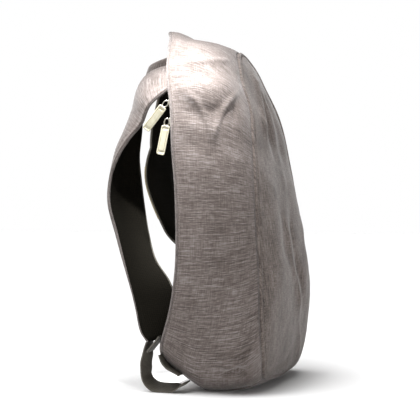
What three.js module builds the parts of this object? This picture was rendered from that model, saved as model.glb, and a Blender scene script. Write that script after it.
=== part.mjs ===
// A slim one-compartment backpack in marled woven fabric, standing on its base.
// Millimetres. +Z up, the outer front faces -Y, the wearer's back is at +Y, the wearer's left is at -X.
import * as THREE from 'three';

// Overall sizes of the bag body
const HEIGHT = 467;
const WIDTH = 288;
const BULGE_HEIGHT = 280;
const DEPTH = 117;
const WALL = 2;
const GAP = 0.3;
const NORMAL_STEP = 0.0005;

// How the front-view outline rounds off, as superellipse powers
const BASE_POWER = 7;
const TOP_POWER = 2.3;
const BASE_TRIM = 3;

// How the plan section rounds off from the side to the front
const SIDE_POWER = 2.8;
const UNDER_POWER = 5.5;
const UNDER_END = 0.42;
const UNDER_FADE = 0.20;
const OVER_POWER = 2.3;
const OVER_START = 0.72;
const OVER_FADE = 0.24;

// The base rises towards the wearer's back
const HEEL_LIFT = 36;
const HEEL_RUN = 50;
const HEEL_POWER = 1.3;
const HEEL_START = -24;
const HEEL_FADE = 120;
const HEEL_SEARCH = 12;

// Line on the front panel that the sections run in to
const SPINE_LOW = 110;
const SPINE_HIGH = 330;

// Height share, back edge as a share of DEPTH behind the zero plane, and depth of the section as a share
const PROFILE = [
  { height: 0.00, back: 0.240, depth: 1.200 },
  { height: 0.07, back: 0.205, depth: 1.140 },
  { height: 0.15, back: 0.130, depth: 1.085 },
  { height: 0.24, back: 0.055, depth: 1.040 },
  { height: 0.36, back: 0.000, depth: 0.985 },
  { height: 0.54, back: 0.009, depth: 0.885 },
  { height: 0.64, back: 0.043, depth: 0.830 },
  { height: 0.76, back: 0.085, depth: 0.785 },
  { height: 0.84, back: 0.165, depth: 0.785 },
  { height: 0.90, back: 0.215, depth: 0.815 },
  { height: 0.94, back: 0.255, depth: 0.790 },
  { height: 0.97, back: 0.305, depth: 0.620 },
  { height: 1.00, back: 0.440, depth: 0.380 },
];

// Where the front seam lies: height share, and distance in front of the zero plane as a share of DEPTH
const SEAM = [
  { height: 0.00, forward: 0.740 },
  { height: 0.04, forward: 0.810 },
  { height: 0.11, forward: 0.850 },
  { height: 0.24, forward: 0.840 },
  { height: 0.39, forward: 0.792 },
  { height: 0.56, forward: 0.735 },
  { height: 0.70, forward: 0.665 },
  { height: 0.80, forward: 0.600 },
  { height: 1.00, forward: 0.500 },
];
const TURN_SEARCH = 30;
const UNDER_SCAN = 60;

// Above this share of the outline the seam turns over in an arch to its apex, given as a turn
const ARCH_START = 0.76;
const ARCH_TURN = 0.72;

// Soft dents of the shoulders and sides: centre as shares of DEPTH and HEIGHT, reach and depth in mm
const DENTS = [
  { forward: 0.20, up: 0.84, reachY: 11, reachZ: 11, sink: 3.0 },
  { forward: 0.36, up: 0.765, reachY: 16, reachZ: 12, sink: 5.0 },
  { forward: 0.56, up: 0.75, reachY: 7, reachZ: 22, sink: 2.5 },
  { forward: 0.30, up: 0.06, reachY: 30, reachZ: 12, sink: 2.0 },
];

// Panels
const SIDE_STATIONS = 30;
const BASE_STATIONS = 8;
const BAND_ROWS = 8;
const FRONT_ROWS = 6;
const BACK_ROWS = 3;
const BASE_REACH = 0.150;
const BACK_CROWN = 4;
const BACK_INSET = WALL + 9 * GAP;
const BACK_LAND = 26;
const TAPE_RISE = 4 * GAP;
const PIPING_RADIUS = 1.6;
const PIPING_INSET = 1;
const SEAM_CORD_RADIUS = 0.9;
const SEAM_CORD_RISE = 0.5;
const SEAM_HALF = SEAM_CORD_RADIUS + 2 * GAP;

// Zip on the back face
const TAPE_INSET = 4;
const TAPE_WIDTH = 6;
const TAPE_THICK = 0.9;
const COIL_WIDTH = 4.4;
const COIL_THICK = 2.2;
const ZIP_START = 0.33;
const SLIDER = { length: 12, width: 9, thick: 3 };
const PULL = { length: 36, width: 10.5, thick: 3.4, corner: 2.4 };
const PULL_TURN = -1.25;
const WIRE_RADIUS = 0.8;
const LOOP = { length: 9, width: 6 };

// Shoulder straps
const COVER_THICK = 2;
const LINING_THICK = 6;
const STRAP_STATIONS = 26;
const STRAP_COLUMNS = 8;
const WEBBING = { width: 25, thick: 1.6 };
const HANDLE = { width: 20, thick: 4, clear: 7.3, seat: 2.2, rootUp: 0.893, crestBack: 0.86, crestUp: 0.878, lean: 0.36 };

// Strap rows as shares: across of WIDTH, stand-off from the back face of DEPTH and up of HEIGHT, for the outer
// and the inner edge, then the seat that LINING_THICK takes as a share of it, how far the strap arches and how
// much further off the right-hand one stands
const STRAP = [
  { outX: 0.345, outY: 0.000, outZ: 0.828, inX: 0.140, inY: 0.000, inZ: 0.905, seat: 0.43, arch: 0.01, right: 0.00 },
  { outX: 0.372, outY: 0.250, outZ: 0.777, inX: 0.152, inY: 0.386, inZ: 0.872, seat: 1.33, arch: 0.07, right: 0.05 },
  { outX: 0.358, outY: 0.400, outZ: 0.724, inX: 0.162, inY: 0.540, inZ: 0.785, seat: 1.33, arch: 0.10, right: 0.12 },
  { outX: 0.350, outY: 0.560, outZ: 0.685, inX: 0.166, inY: 0.600, inZ: 0.700, seat: 1.33, arch: 0.12, right: 0.14 },
  { outX: 0.347, outY: 0.715, outZ: 0.635, inX: 0.167, inY: 0.640, inZ: 0.638, seat: 1.33, arch: 0.13, right: 0.08 },
  { outX: 0.350, outY: 0.825, outZ: 0.575, inX: 0.170, inY: 0.640, inZ: 0.575, seat: 1.33, arch: 0.11, right: 0.00 },
  { outX: 0.380, outY: 0.825, outZ: 0.505, inX: 0.195, inY: 0.596, inZ: 0.505, seat: 1.33, arch: 0.08, right: -0.03 },
  { outX: 0.410, outY: 0.710, outZ: 0.420, inX: 0.245, inY: 0.499, inZ: 0.420, seat: 1.33, arch: 0.05, right: 0.00 },
  { outX: 0.436, outY: 0.585, outZ: 0.340, inX: 0.330, inY: 0.330, inZ: 0.350, seat: 1.33, arch: 0.03, right: 0.05 },
  { outX: 0.450, outY: 0.480, outZ: 0.275, inX: 0.395, inY: 0.100, inZ: 0.290, seat: 0.90, arch: 0.02, right: 0.03 },
  { outX: 0.455, outY: 0.400, outZ: 0.215, inX: 0.400, inY: 0.000, inZ: 0.225, seat: 0.25, arch: 0.02, right: 0.00 },
  { outX: 0.460, outY: 0.290, outZ: 0.165, inX: 0.405, inY: 0.000, inZ: 0.170, seat: 0.25, arch: 0.02, right: 0.00 },
  { outX: 0.450, outY: 0.170, outZ: 0.135, inX: 0.410, inY: 0.000, inZ: 0.140, seat: 0.37, arch: 0.01, right: 0.00 },
];

// Slack webbing from the strap's end down to the base: back as a share of DEPTH, up as a share of HEIGHT
const LOOP_ROUTE = [
  { back: 0.370, up: 0.1335 },
  { back: 0.455, up: 0.085 },
  { back: 0.450, up: 0.047 },
  { back: 0.400, up: 0.022 },
  { back: 0.310, up: 0.0045 },
  { back: 0.200, up: 0.002 },
  { back: 0.080, up: 0.0045 },
  { back: -0.050, up: 0.022 },
];
const LOOP_ACROSS = 0.430;

const COLOURS = {
  marl: { color: 0x7d7371, roughness: 0.85, metalness: 0 },
  piping: { color: 0xa39a95, roughness: 0.8, metalness: 0 },
  mesh: { color: 0x201c18, roughness: 0.95, metalness: 0 },
  webbing: { color: 0x4b463c, roughness: 0.8, metalness: 0 },
  coil: { color: 0x2a2826, roughness: 0.5, metalness: 0 },
  puller: { color: 0xe4e0c8, roughness: 0.35, metalness: 0.3 },
  steel: { color: 0xb8b6ac, roughness: 0.3, metalness: 1 },
};

const clamp = (value, low, high) => Math.min(high, Math.max(low, value));
const mix = (a, b, share) => a + (b - a) * share;
const ease = (share) => {
  const t = clamp(share, 0, 1);
  return t * t * (3 - 2 * t);
};
const steps = (from, to, count) => Array.from({ length: count + 1 }, (_, i) => mix(from, to, i / count));
const superArc = (share, power) => Math.max(0, 1 - share ** power) ** (1 / power);

// A smooth curve through one column of a table
function column(table, key, name, at) {
  const last = table.length - 1;
  let i = 0;
  while (i < last - 1 && at > table[i + 1][key]) i += 1;
  const a = table[i];
  const b = table[i + 1];
  const before = table[Math.max(0, i - 1)];
  const after = table[Math.min(last, i + 2)];
  const span = b[key] - a[key];
  const t = clamp((at - a[key]) / span, 0, 1);
  const slopeA = ((b[name] - before[name]) / (b[key] - before[key])) * span;
  const slopeB = ((after[name] - a[name]) / (after[key] - a[key])) * span;
  const t2 = t * t;
  const t3 = t2 * t;
  return (2 * t3 - 3 * t2 + 1) * a[name] + (t3 - 2 * t2 + t) * slopeA
    + (3 * t2 - 2 * t3) * b[name] + (t3 - t2) * slopeB;
}

// Front-view outline, from the middle of the base up one side to the peak, evenly spaced
function outlineTable() {
  const half = WIDTH / 2;
  const drop = BULGE_HEIGHT + BASE_TRIM;
  const rise = HEIGHT - BULGE_HEIGHT;
  const lowTurn = 0.5 ** (1 / BASE_POWER);
  const highTurn = 0.5 ** (1 / TOP_POWER);
  const points = [];
  steps(0, lowTurn, 40).forEach((x) => {
    points.push([half * x, BULGE_HEIGHT - drop * superArc(x, BASE_POWER)]);
  });
  steps(lowTurn, 0, 40).slice(1).forEach((z) => {
    points.push([half * superArc(z, BASE_POWER), BULGE_HEIGHT - drop * z]);
  });
  steps(0, highTurn, 40).slice(1).forEach((z) => {
    points.push([half * superArc(z, TOP_POWER), BULGE_HEIGHT + rise * z]);
  });
  steps(highTurn, 0, 40).slice(1).forEach((x) => {
    points.push([half * x, BULGE_HEIGHT + rise * superArc(x, TOP_POWER)]);
  });
  let run = 0;
  const table = points.map(([x, z], i) => {
    if (i > 0) run += Math.hypot(x - points[i - 1][0], z - points[i - 1][1]);
    return { run, x, z };
  });
  return table.map((row) => ({ along: row.run / run, x: row.x, z: row.z }));
}
const OUTLINE = outlineTable();

// A station runs from -1 at the base's middle, over the left side, to 0 at the peak and back to 1 on the right
function outlineAt(station) {
  const along = 1 - Math.abs(station);
  let i = 0;
  while (i < OUTLINE.length - 2 && along > OUTLINE[i + 1].along) i += 1;
  const a = OUTLINE[i];
  const b = OUTLINE[i + 1];
  const t = (along - a.along) / (b.along - a.along);
  return { along, x: Math.sign(station) * mix(a.x, b.x, t), z: mix(a.z, b.z, t) };
}

const backAt = (z) => DEPTH * column(PROFILE, 'height', 'back', clamp(z / HEIGHT, 0, 1));
const depthAt = (z) => DEPTH * column(PROFILE, 'height', 'depth', clamp(z / HEIGHT, 0, 1));

const heelLift = (y) => HEEL_LIFT * Math.max(0, (y - HEEL_START) / HEEL_RUN) ** HEEL_POWER;

// The base rises at the wearer's side, and everything low down rises with it
function heel(point) {
  const lift = heelLift(point.y);
  const z = Math.max(0, point.z);
  return point.setZ(z + lift * Math.max(0, 1 - z / HEEL_FADE));
}

// How square the section is at this share of the way up the outline
function sectionPower(along) {
  const under = ease((UNDER_END - along) / UNDER_FADE);
  const over = ease((along - OVER_START) / OVER_FADE);
  return mix(mix(SIDE_POWER, UNDER_POWER, under), OVER_POWER, over);
}

// How far back the body reaches at a height above the floor, low down too, where the heel has lifted it
function backOver(height) {
  let z = height;
  for (let i = 0; i < HEEL_SEARCH; i += 1) {
    const lift = heelLift(backAt(z));
    z = height < HEEL_FADE ? clamp((height - lift) / (1 - lift / HEEL_FADE), 0, HEEL_FADE) : height;
  }
  return backAt(z);
}

// A point of the body's outer skin; turn 0 is the back edge and a quarter turn is the spine of the front
function skin(station, turn) {
  const edge = outlineAt(station);
  const power = sectionPower(edge.along);
  const out = Math.cos(turn) ** (2 / power);
  const ahead = Math.sin(turn) ** (2 / power);
  const spine = mix(SPINE_LOW, SPINE_HIGH, edge.along);
  const z = mix(spine, edge.z, out);
  const point = new THREE.Vector3(edge.x * out, backAt(z) - depthAt(z) * ahead, z);
  DENTS.forEach((dent) => {
    const side = clamp(Math.abs(point.x) / WIDTH * 4 - 0.6, 0, 1);
    const dy = (point.y + DEPTH * dent.forward) / dent.reachY;
    const dz = (point.z - HEIGHT * dent.up) / dent.reachZ;
    point.x -= Math.sign(point.x) * side * dent.sink * Math.exp(-dy * dy - dz * dz);
  });
  return heel(point);
}

// The unit normal of the skin, pointing out
function skinNormal(station, turn) {
  const low = clamp(turn - NORMAL_STEP, 0, Math.PI / 2);
  const high = clamp(turn + NORMAL_STEP, 0, Math.PI / 2);
  const across = skin(station, high).sub(skin(station, low));
  const along = skin(station + NORMAL_STEP, turn).sub(skin(station - NORMAL_STEP, turn));
  return across.cross(along).normalize();
}

// The turn at which a section first reaches a surface, by halving
function turnWhere(station, isShort) {
  let low = 0;
  let high = Math.PI / 2;
  for (let i = 0; i < TURN_SEARCH; i += 1) {
    const turn = (low + high) / 2;
    if (isShort(skin(station, turn))) low = turn;
    else high = turn;
  }
  return (low + high) / 2;
}

// The turn at which a section meets the seam's own surface
function planeTurn(station) {
  const seamY = (point) => -DEPTH * column(SEAM, 'height', 'forward', clamp(point.z / HEIGHT, 0, 1));
  return turnWhere(station, (point) => point.y > seamY(point));
}

// The height of the skin's underside at a place on the base
function underAt(x, y) {
  const line = steps(0, UNDER_END, UNDER_SCAN).map((along) => {
    const station = along - 1;
    return skin(station, turnWhere(station, (point) => point.y > y));
  });
  const next = Math.max(1, line.findIndex((point) => -point.x >= x));
  const a = line[next - 1];
  const b = line[next];
  return mix(a.z, b.z, (x + a.x) / (a.x - b.x));
}
const archTurn = planeTurn(1 - ARCH_START);

function seamTurnAt(station) {
  const along = 1 - Math.abs(station);
  if (along < ARCH_START) return planeTurn(station);
  return mix(archTurn, ARCH_TURN, ease((along - ARCH_START) / (1 - ARCH_START)));
}

// Turns at even distances along one section, from the back edge to the seam and on to the spine
function sectionTurns(station) {
  const seamTurn = seamTurnAt(station);
  const dense = steps(0, 1, 200).map((t) => (t ** 2.2) * Math.PI / 2);
  const points = dense.map((turn) => skin(station, turn));
  const runs = [0];
  for (let i = 1; i < points.length; i += 1) runs.push(runs[i - 1] + points[i].distanceTo(points[i - 1]));
  const runAt = (turn) => {
    const i = clamp(dense.findIndex((value) => value >= turn), 1, dense.length - 1);
    return mix(runs[i - 1], runs[i], (turn - dense[i - 1]) / (dense[i] - dense[i - 1]));
  };
  const turnAt = (run) => {
    const i = clamp(runs.findIndex((value) => value >= run), 1, runs.length - 1);
    return mix(dense[i - 1], dense[i], (run - runs[i - 1]) / (runs[i] - runs[i - 1]));
  };
  const seamRun = runAt(seamTurn);
  return {
    seamTurn,
    band: steps(0, seamRun - SEAM_HALF, BAND_ROWS).map(turnAt),
    front: steps(seamRun + SEAM_HALF, runs[runs.length - 1], FRONT_ROWS).map(turnAt),
  };
}

// Six times the volume that the faces close in, below zero where they point inwards
function signedVolume(positions, faces) {
  const corner = (i) => new THREE.Vector3().fromArray(positions, faces[i] * 3);
  let total = 0;
  for (let i = 0; i < faces.length; i += 3) total += corner(i).dot(corner(i + 1).cross(corner(i + 2)));
  return total;
}

function meshOf(name, finish, positions, faces) {
  const outward = signedVolume(positions, faces) > 0 ? faces : faces.slice().reverse();
  const geometry = new THREE.BufferGeometry();
  geometry.setAttribute('position', new THREE.Float32BufferAttribute(positions, 3));
  geometry.setIndex(outward);
  const mesh = new THREE.Mesh(geometry, new THREE.MeshStandardMaterial(COLOURS[finish]));
  mesh.name = name;
  return mesh;
}

// A closed wall between an outer and an inner grid of points; a ring joins its last line to its first,
// and a disc's last row meets itself on the spine
function wall(name, finish, outer, inner, ring = false, disc = false) {
  const lines = outer.length;
  const rows = outer[0].length;
  const positions = [];
  outer.flat().forEach((p) => positions.push(p.x, p.y, p.z));
  inner.flat().forEach((p) => positions.push(p.x, p.y, p.z));
  const faces = [];
  const at = (i, j) => (i % lines) * rows + j;
  const inside = lines * rows;
  const quad = (a, b, c, d) => faces.push(a, b, c, a, c, d);
  const spans = ring ? lines : lines - 1;
  for (let i = 0; i < spans; i += 1) {
    for (let j = 0; j < rows - 1; j += 1) {
      quad(at(i, j), at(i + 1, j), at(i + 1, j + 1), at(i, j + 1));
      quad(inside + at(i, j), inside + at(i, j + 1), inside + at(i + 1, j + 1), inside + at(i + 1, j));
    }
    quad(inside + at(i, 0), inside + at(i + 1, 0), at(i + 1, 0), at(i, 0));
    if (!disc) {
      const last = rows - 1;
      quad(at(i, last), at(i + 1, last), inside + at(i + 1, last), inside + at(i, last));
    }
  }
  if (!ring) {
    const end = lines - 1;
    for (let j = 0; j < rows - 1; j += 1) {
      quad(at(0, j), at(0, j + 1), inside + at(0, j + 1), inside + at(0, j));
      quad(inside + at(end, j), inside + at(end, j + 1), at(end, j + 1), at(end, j));
    }
  }
  return meshOf(name, finish, positions, faces);
}

const offset = (point, normal, distance) => point.clone().addScaledVector(normal, distance);

// Stations of the band over the sides and top, and of the base between the two lower corners
const baseEdge = 1 - BASE_REACH;
const seamShare = GAP / 2 / (HEIGHT + WIDTH);
const bandStations = steps(-baseEdge + seamShare, baseEdge - seamShare, 2 * SIDE_STATIONS);
const baseStations = [
  ...steps(baseEdge + seamShare, 1, BASE_STATIONS),
  ...steps(-1, -baseEdge - seamShare, BASE_STATIONS).slice(1),
];
const ringStations = [...bandStations, ...baseStations];

function bandPanel(name, stations) {
  const turns = stations.map((station) => sectionTurns(station).band);
  const outer = stations.map((station, i) => turns[i].map((turn) => skin(station, turn)));
  const inner = stations.map((station, i) => turns[i].map((turn, j) => (
    offset(outer[i][j], skinNormal(station, turn), -WALL)
  )));
  return wall(name, 'marl', outer, inner);
}

function frontPanel() {
  const turns = ringStations.map((station) => sectionTurns(station).front);
  const onSpine = (point, j) => (j === FRONT_ROWS ? point.setX(0) : point);
  const outer = ringStations.map((station, i) => turns[i].map((turn, j) => onSpine(skin(station, turn), j)));
  const inner = ringStations.map((station, i) => turns[i].map((turn, j) => {
    const spread = j === FRONT_ROWS ? new THREE.Vector3(0, -1, 0) : skinNormal(station, turn);
    return onSpine(offset(outer[i][j], spread, -WALL), j);
  }));
  return wall('front_panel', 'marl', outer, inner, true, true);
}

// A point of the back face: a distance in from the outline's edge, then a share of the way out from the spine;
// a level point keeps the edge's own depth
function backFace(station, inset, proud, { out = 1, level = false } = {}) {
  const edge = outlineAt(station);
  const ahead = outlineAt(station + NORMAL_STEP);
  const behind = outlineAt(station - NORMAL_STEP);
  const normal = new THREE.Vector2(-(ahead.z - behind.z), ahead.x - behind.x).normalize();
  const x = (edge.x - normal.x * inset) * out;
  const z = mix(mix(SPINE_LOW, SPINE_HIGH, edge.along), Math.max(0, edge.z) - normal.y * inset, out);
  const crown = BACK_CROWN * (1 - out * out);
  return heel(new THREE.Vector3(x, backAt(level ? edge.z : z) + crown + proud, z));
}

function backPanel() {
  const grid = (depth) => ringStations.map((station) => {
    const land = steps(BACK_INSET, BACK_LAND, 3).slice(0, 3).map((inset) => backFace(station, inset, -depth));
    const field = steps(1, 0, BACK_ROWS).map((out) => backFace(station, BACK_LAND, -depth, { out }));
    field[BACK_ROWS].setX(0);
    return [...land, ...field];
  });
  return wall('back_panel', 'mesh', grid(0), grid(WALL), true, true);
}

// A strip that lies on the back face between two insets
function backStrip(name, finish, insetA, insetB, thick, from, to) {
  const stations = steps(-from, to, 2 * SIDE_STATIONS);
  const low = stations.map((station) => [insetA, insetB].map((inset) => backFace(station, inset, TAPE_RISE)));
  const high = stations.map((station) => [insetA, insetB].map((inset) => backFace(station, inset, TAPE_RISE + thick)));
  return wall(name, finish, low, high);
}

// A round cord that follows the panels' own stations all the way round
function cordRing(name, finish, centres, radius, sides) {
  const count = centres.length;
  const positions = [];
  centres.forEach(({ point, out }, i) => {
    const ahead = centres[(i + 1) % count].point;
    const behind = centres[(i + count - 1) % count].point;
    const tangent = ahead.clone().sub(behind).normalize();
    const across = tangent.clone().cross(out).normalize();
    const lift = across.clone().cross(tangent).normalize();
    steps(0, 2 * Math.PI, sides).slice(0, sides).forEach((angle) => {
      const p = point.clone()
        .addScaledVector(lift, radius * Math.cos(angle))
        .addScaledVector(across, radius * Math.sin(angle));
      positions.push(p.x, p.y, p.z);
    });
  });
  const faces = [];
  const at = (i, j) => (i % count) * sides + (j % sides);
  for (let i = 0; i < count; i += 1) {
    for (let j = 0; j < sides; j += 1) {
      faces.push(at(i, j), at(i + 1, j), at(i + 1, j + 1), at(i, j), at(i + 1, j + 1), at(i, j + 1));
    }
  }
  return meshOf(name, finish, positions, faces);
}

// Piping behind the back edge
function backPiping() {
  const centres = ringStations.map((station) => ({
    point: backFace(station, PIPING_INSET, PIPING_RADIUS + GAP, { level: true }),
    out: new THREE.Vector3(0, 1, 0),
  }));
  return cordRing('back_piping', 'piping', centres, PIPING_RADIUS, 6);
}

// A thin cord in the seam round the front panel
function frontPiping() {
  const centres = ringStations.map((station) => {
    const { seamTurn } = sectionTurns(station);
    const out = skinNormal(station, seamTurn);
    return { point: offset(skin(station, seamTurn), out, SEAM_CORD_RISE - SEAM_CORD_RADIUS), out };
  });
  return cordRing('front_piping', 'piping', centres, SEAM_CORD_RADIUS, 6);
}

// Shoulder strap: two layers lofted through the strap table
function strapFrame(side, share) {
  const rows = STRAP.map((row, i) => ({ ...row, at: i / (STRAP.length - 1) }));
  const value = (name) => column(rows, 'at', name, share);
  const shift = side > 0 ? value('right') : 0;
  const edgePoint = (edge) => {
    const z = HEIGHT * value(`${edge}Z`);
    const seat = GAP + LINING_THICK * value('seat');
    const y = backOver(z) + seat + DEPTH * Math.max(0, value(`${edge}Y`) + shift);
    return new THREE.Vector3(side * WIDTH * value(`${edge}X`), y, z);
  };
  return { outer: edgePoint('out'), inner: edgePoint('in'), arch: DEPTH * value('arch') };
}

function strapPoint(side, share, across, rise) {
  const here = strapFrame(side, share);
  const step = 0.01;
  const next = strapFrame(side, Math.min(1, share + step));
  const last = strapFrame(side, Math.max(0, share - step));
  const middle = (frame) => frame.outer.clone().add(frame.inner).multiplyScalar(0.5);
  const tangent = middle(next).sub(middle(last)).normalize();
  const lateral = here.outer.clone().sub(here.inner);
  const half = lateral.length() / 2;
  lateral.normalize();
  const away = lateral.clone().cross(tangent).multiplyScalar(side).normalize();
  const slope = (2 * here.arch * across) / half;
  const normal = away.clone().addScaledVector(lateral, slope).normalize();
  return middle(here)
    .addScaledVector(lateral, half * across)
    .addScaledVector(away, here.arch * (1 - across * across))
    .addScaledVector(normal, rise);
}

function strapLayer(name, finish, side, low, high) {
  const shares = steps(0, 1, STRAP_STATIONS);
  const grid = (rise) => shares.map((share) => steps(-1, 1, STRAP_COLUMNS).map((across) => (
    strapPoint(side, share, across, rise)
  )));
  return wall(name, finish, grid(high), grid(low));
}

// A flat ribbon along a list of points, its width lying along X
function ribbonAlong(name, finish, points, width, thick, count) {
  const curve = new THREE.CatmullRomCurve3(points, false, 'centripetal');
  const along = steps(0, 1, count).map((share) => curve.getPointAt(share));
  const normals = steps(0, 1, count).map((share) => {
    const tangent = curve.getTangentAt(share);
    return new THREE.Vector3(0, -tangent.z, tangent.y).normalize();
  });
  const grid = (rise) => along.map((point, i) => [-1, 1].map((edge) => (
    offset(point, normals[i], rise).add(new THREE.Vector3((edge * width) / 2, 0, 0))
  )));
  return wall(name, finish, grid(thick / 2), grid(-thick / 2));
}

function webbingLoop(name, side) {
  const lowest = WEBBING.thick / 2 + 0.1;
  const points = LOOP_ROUTE.map((row) => new THREE.Vector3(
    side * WIDTH * LOOP_ACROSS,
    DEPTH * row.back,
    Math.max(lowest, HEIGHT * row.up),
  ));
  points[0].z = HEIGHT * STRAP[STRAP.length - 1].outZ - 2 * GAP;
  const end = points[points.length - 1];
  end.z = underAt(WIDTH * LOOP_ACROSS - WEBBING.width / 2, end.y) - WEBBING.thick / 2 + 2 * GAP;
  return ribbonAlong(name, 'webbing', points, WEBBING.width, WEBBING.thick, 24);
}

// Grab handle: a flat band that leaves the back below the zip, bows out over the straps and returns
function grabHandle() {
  const half = WIDTH * STRAP[0].inX - HANDLE.clear;
  const grid = (thick) => steps(-1, 1, 20).map((across) => {
    const bow = superArc(Math.abs(across), 2.4);
    const along = half * across * (1 - thick / half);
    return [0, 1].map((edge) => {
      const rootZ = HEIGHT * HANDLE.rootUp + edge * HANDLE.width;
      const rootY = backAt(rootZ) + HANDLE.seat;
      const crestY = DEPTH * HANDLE.crestBack - edge * HANDLE.width * HANDLE.lean;
      const crestZ = HEIGHT * HANDLE.crestUp + edge * HANDLE.width * Math.sqrt(1 - HANDLE.lean ** 2);
      return new THREE.Vector3(along, mix(rootY, crestY - thick, bow), mix(rootZ, crestZ, bow));
    });
  });
  return wall('grab_handle', 'marl', grid(0), grid(HANDLE.thick));
}

// Zip slider, wire loop and bar puller hanging from the near side of the zip
function zipPull(name, up, swing) {
  const station = -(1 - OUTLINE.find((point) => point.z >= HEIGHT * up).along);
  const middle = TAPE_INSET + TAPE_WIDTH + GAP + COIL_WIDTH / 2;
  const seat = backFace(station, middle, TAPE_RISE + COIL_THICK + 2 * GAP);
  const group = new THREE.Group();
  group.position.copy(seat);
  const body = new THREE.Mesh(
    new THREE.BoxGeometry(SLIDER.width, SLIDER.thick, SLIDER.length),
    new THREE.MeshStandardMaterial(COLOURS.steel),
  );
  body.name = `${name}_slider`;
  const lean = Math.atan((backAt(seat.z + SLIDER.length) - backAt(seat.z - SLIDER.length)) / (2 * SLIDER.length));
  body.position.y = SLIDER.thick / 2;
  body.rotation.x = -lean;
  group.add(body);
  const drop = new THREE.Group();
  const reach = Math.hypot(
    (LOOP.length / 2) * Math.sin(swing),
    (LOOP.width / 2) * Math.sin(PULL_TURN) * Math.cos(swing),
  );
  drop.position.set(0, SLIDER.thick + reach + WIRE_RADIUS + 3 * GAP, 0);
  drop.rotation.set(Math.PI / 2 + swing, PULL_TURN, 0);
  const wire = new THREE.Mesh(
    new THREE.TorusGeometry(LOOP.width / 2, WIRE_RADIUS, 6, 16),
    new THREE.MeshStandardMaterial(COLOURS.steel),
  );
  wire.name = `${name}_wire`;
  wire.scale.set(1, LOOP.length / LOOP.width, 1);
  drop.add(wire);
  const half = PULL.width / 2;
  const outline = new THREE.Shape();
  outline.moveTo(-half + PULL.corner, 0);
  outline.lineTo(half - PULL.corner, 0);
  outline.quadraticCurveTo(half, 0, half, -PULL.corner);
  outline.lineTo(half, -PULL.length + PULL.corner);
  outline.quadraticCurveTo(half, -PULL.length, half - PULL.corner, -PULL.length);
  outline.lineTo(-half + PULL.corner, -PULL.length);
  outline.quadraticCurveTo(-half, -PULL.length, -half, -PULL.length + PULL.corner);
  outline.lineTo(-half, -PULL.corner);
  outline.quadraticCurveTo(-half, 0, -half + PULL.corner, 0);
  const bar = new THREE.Mesh(
    new THREE.ExtrudeGeometry(outline, { depth: PULL.thick, bevelEnabled: false, curveSegments: 4 }),
    new THREE.MeshStandardMaterial(COLOURS.puller),
  );
  bar.name = `${name}_bar`;
  bar.position.set(0, -LOOP.length / 2 - WIRE_RADIUS - GAP, -PULL.thick / 2);
  drop.add(bar);
  group.add(drop);
  return group;
}

const bag = new THREE.Group();
bag.add(bandPanel('side_band', bandStations));
bag.add(bandPanel('base_panel', baseStations));
bag.add(frontPanel());
bag.add(backPanel());
bag.add(backPiping());
bag.add(frontPiping());
const zipEnd = 1 - ZIP_START;
const coilInset = TAPE_INSET + TAPE_WIDTH + GAP;
const innerInset = coilInset + COIL_WIDTH + GAP;
bag.add(backStrip('zip_tape_outer', 'coil', TAPE_INSET, TAPE_INSET + TAPE_WIDTH, TAPE_THICK, zipEnd, zipEnd));
bag.add(backStrip('zip_coil', 'coil', coilInset, coilInset + COIL_WIDTH, COIL_THICK, zipEnd, zipEnd));
bag.add(backStrip('zip_tape_inner', 'coil', innerInset, innerInset + TAPE_WIDTH, TAPE_THICK, zipEnd, zipEnd));
bag.add(zipPull('upper_pull', 0.780, 0.70));
bag.add(zipPull('lower_pull', 0.727, 0.21));
[['left', -1], ['right', 1]].forEach(([name, side]) => {
  bag.add(strapLayer(`${name}_strap_cover`, 'marl', side, GAP / 2, GAP / 2 + COVER_THICK));
  bag.add(strapLayer(`${name}_strap_lining`, 'mesh', side, -GAP / 2 - LINING_THICK, -GAP / 2));
  bag.add(webbingLoop(`${name}_webbing`, side));
});
bag.add(grabHandle());

// The origin lies under the middle of the bounding box
const box = new THREE.Box3().setFromObject(bag);
bag.position.y = -(box.min.y + box.max.y) / 2;

export default bag;
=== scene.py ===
"""A slim backpack in marled fabric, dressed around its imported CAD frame.

Lengths are in millimetres until a mesh is made, and Blender's objects are in metres. +Z is up, the outer
front faces -Y, the wearer's back is at +Y and the wearer's left is at -X.
"""

import logging
import math
from dataclasses import dataclass, field
from enum import Enum
from typing import Callable, Optional, Sequence

import bpy
import numpy as np
from mathutils import Matrix, Vector, noise

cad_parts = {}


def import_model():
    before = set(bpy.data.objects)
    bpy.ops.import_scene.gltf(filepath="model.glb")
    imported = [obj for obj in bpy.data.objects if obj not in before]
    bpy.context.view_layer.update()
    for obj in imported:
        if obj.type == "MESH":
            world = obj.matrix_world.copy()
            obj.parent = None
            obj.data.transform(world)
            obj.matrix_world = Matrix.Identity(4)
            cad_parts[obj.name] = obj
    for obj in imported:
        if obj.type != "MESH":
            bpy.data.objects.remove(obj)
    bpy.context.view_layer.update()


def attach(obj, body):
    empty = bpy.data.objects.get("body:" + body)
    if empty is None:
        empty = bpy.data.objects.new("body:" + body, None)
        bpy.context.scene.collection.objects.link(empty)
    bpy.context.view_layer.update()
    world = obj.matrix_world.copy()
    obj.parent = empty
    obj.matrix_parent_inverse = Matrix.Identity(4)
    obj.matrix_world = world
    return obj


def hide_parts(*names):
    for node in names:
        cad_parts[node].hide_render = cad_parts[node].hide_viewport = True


LOG = logging.getLogger("backpack")
MM = 0.001
SHIFT_Y = -1.546  # the CAD part is centred on its bounding box, which moves the bag's own zero plane
BANDS_PER_UNIT = 3.18  # bands that the wave texture draws in one unit at scale one
CLOTH_MAP = "cloth"  # the map that says where each point lies on the flat cloth
MIDDLE = (0.0, -30.0, 230.0)  # a point well inside the bag
SLOPE_STEP = 0.0005  # a short step on the outline or the section, for slopes
FOLD_DEPTH = 1.7  # how many times its own lift a fold moves the cloth
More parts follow.
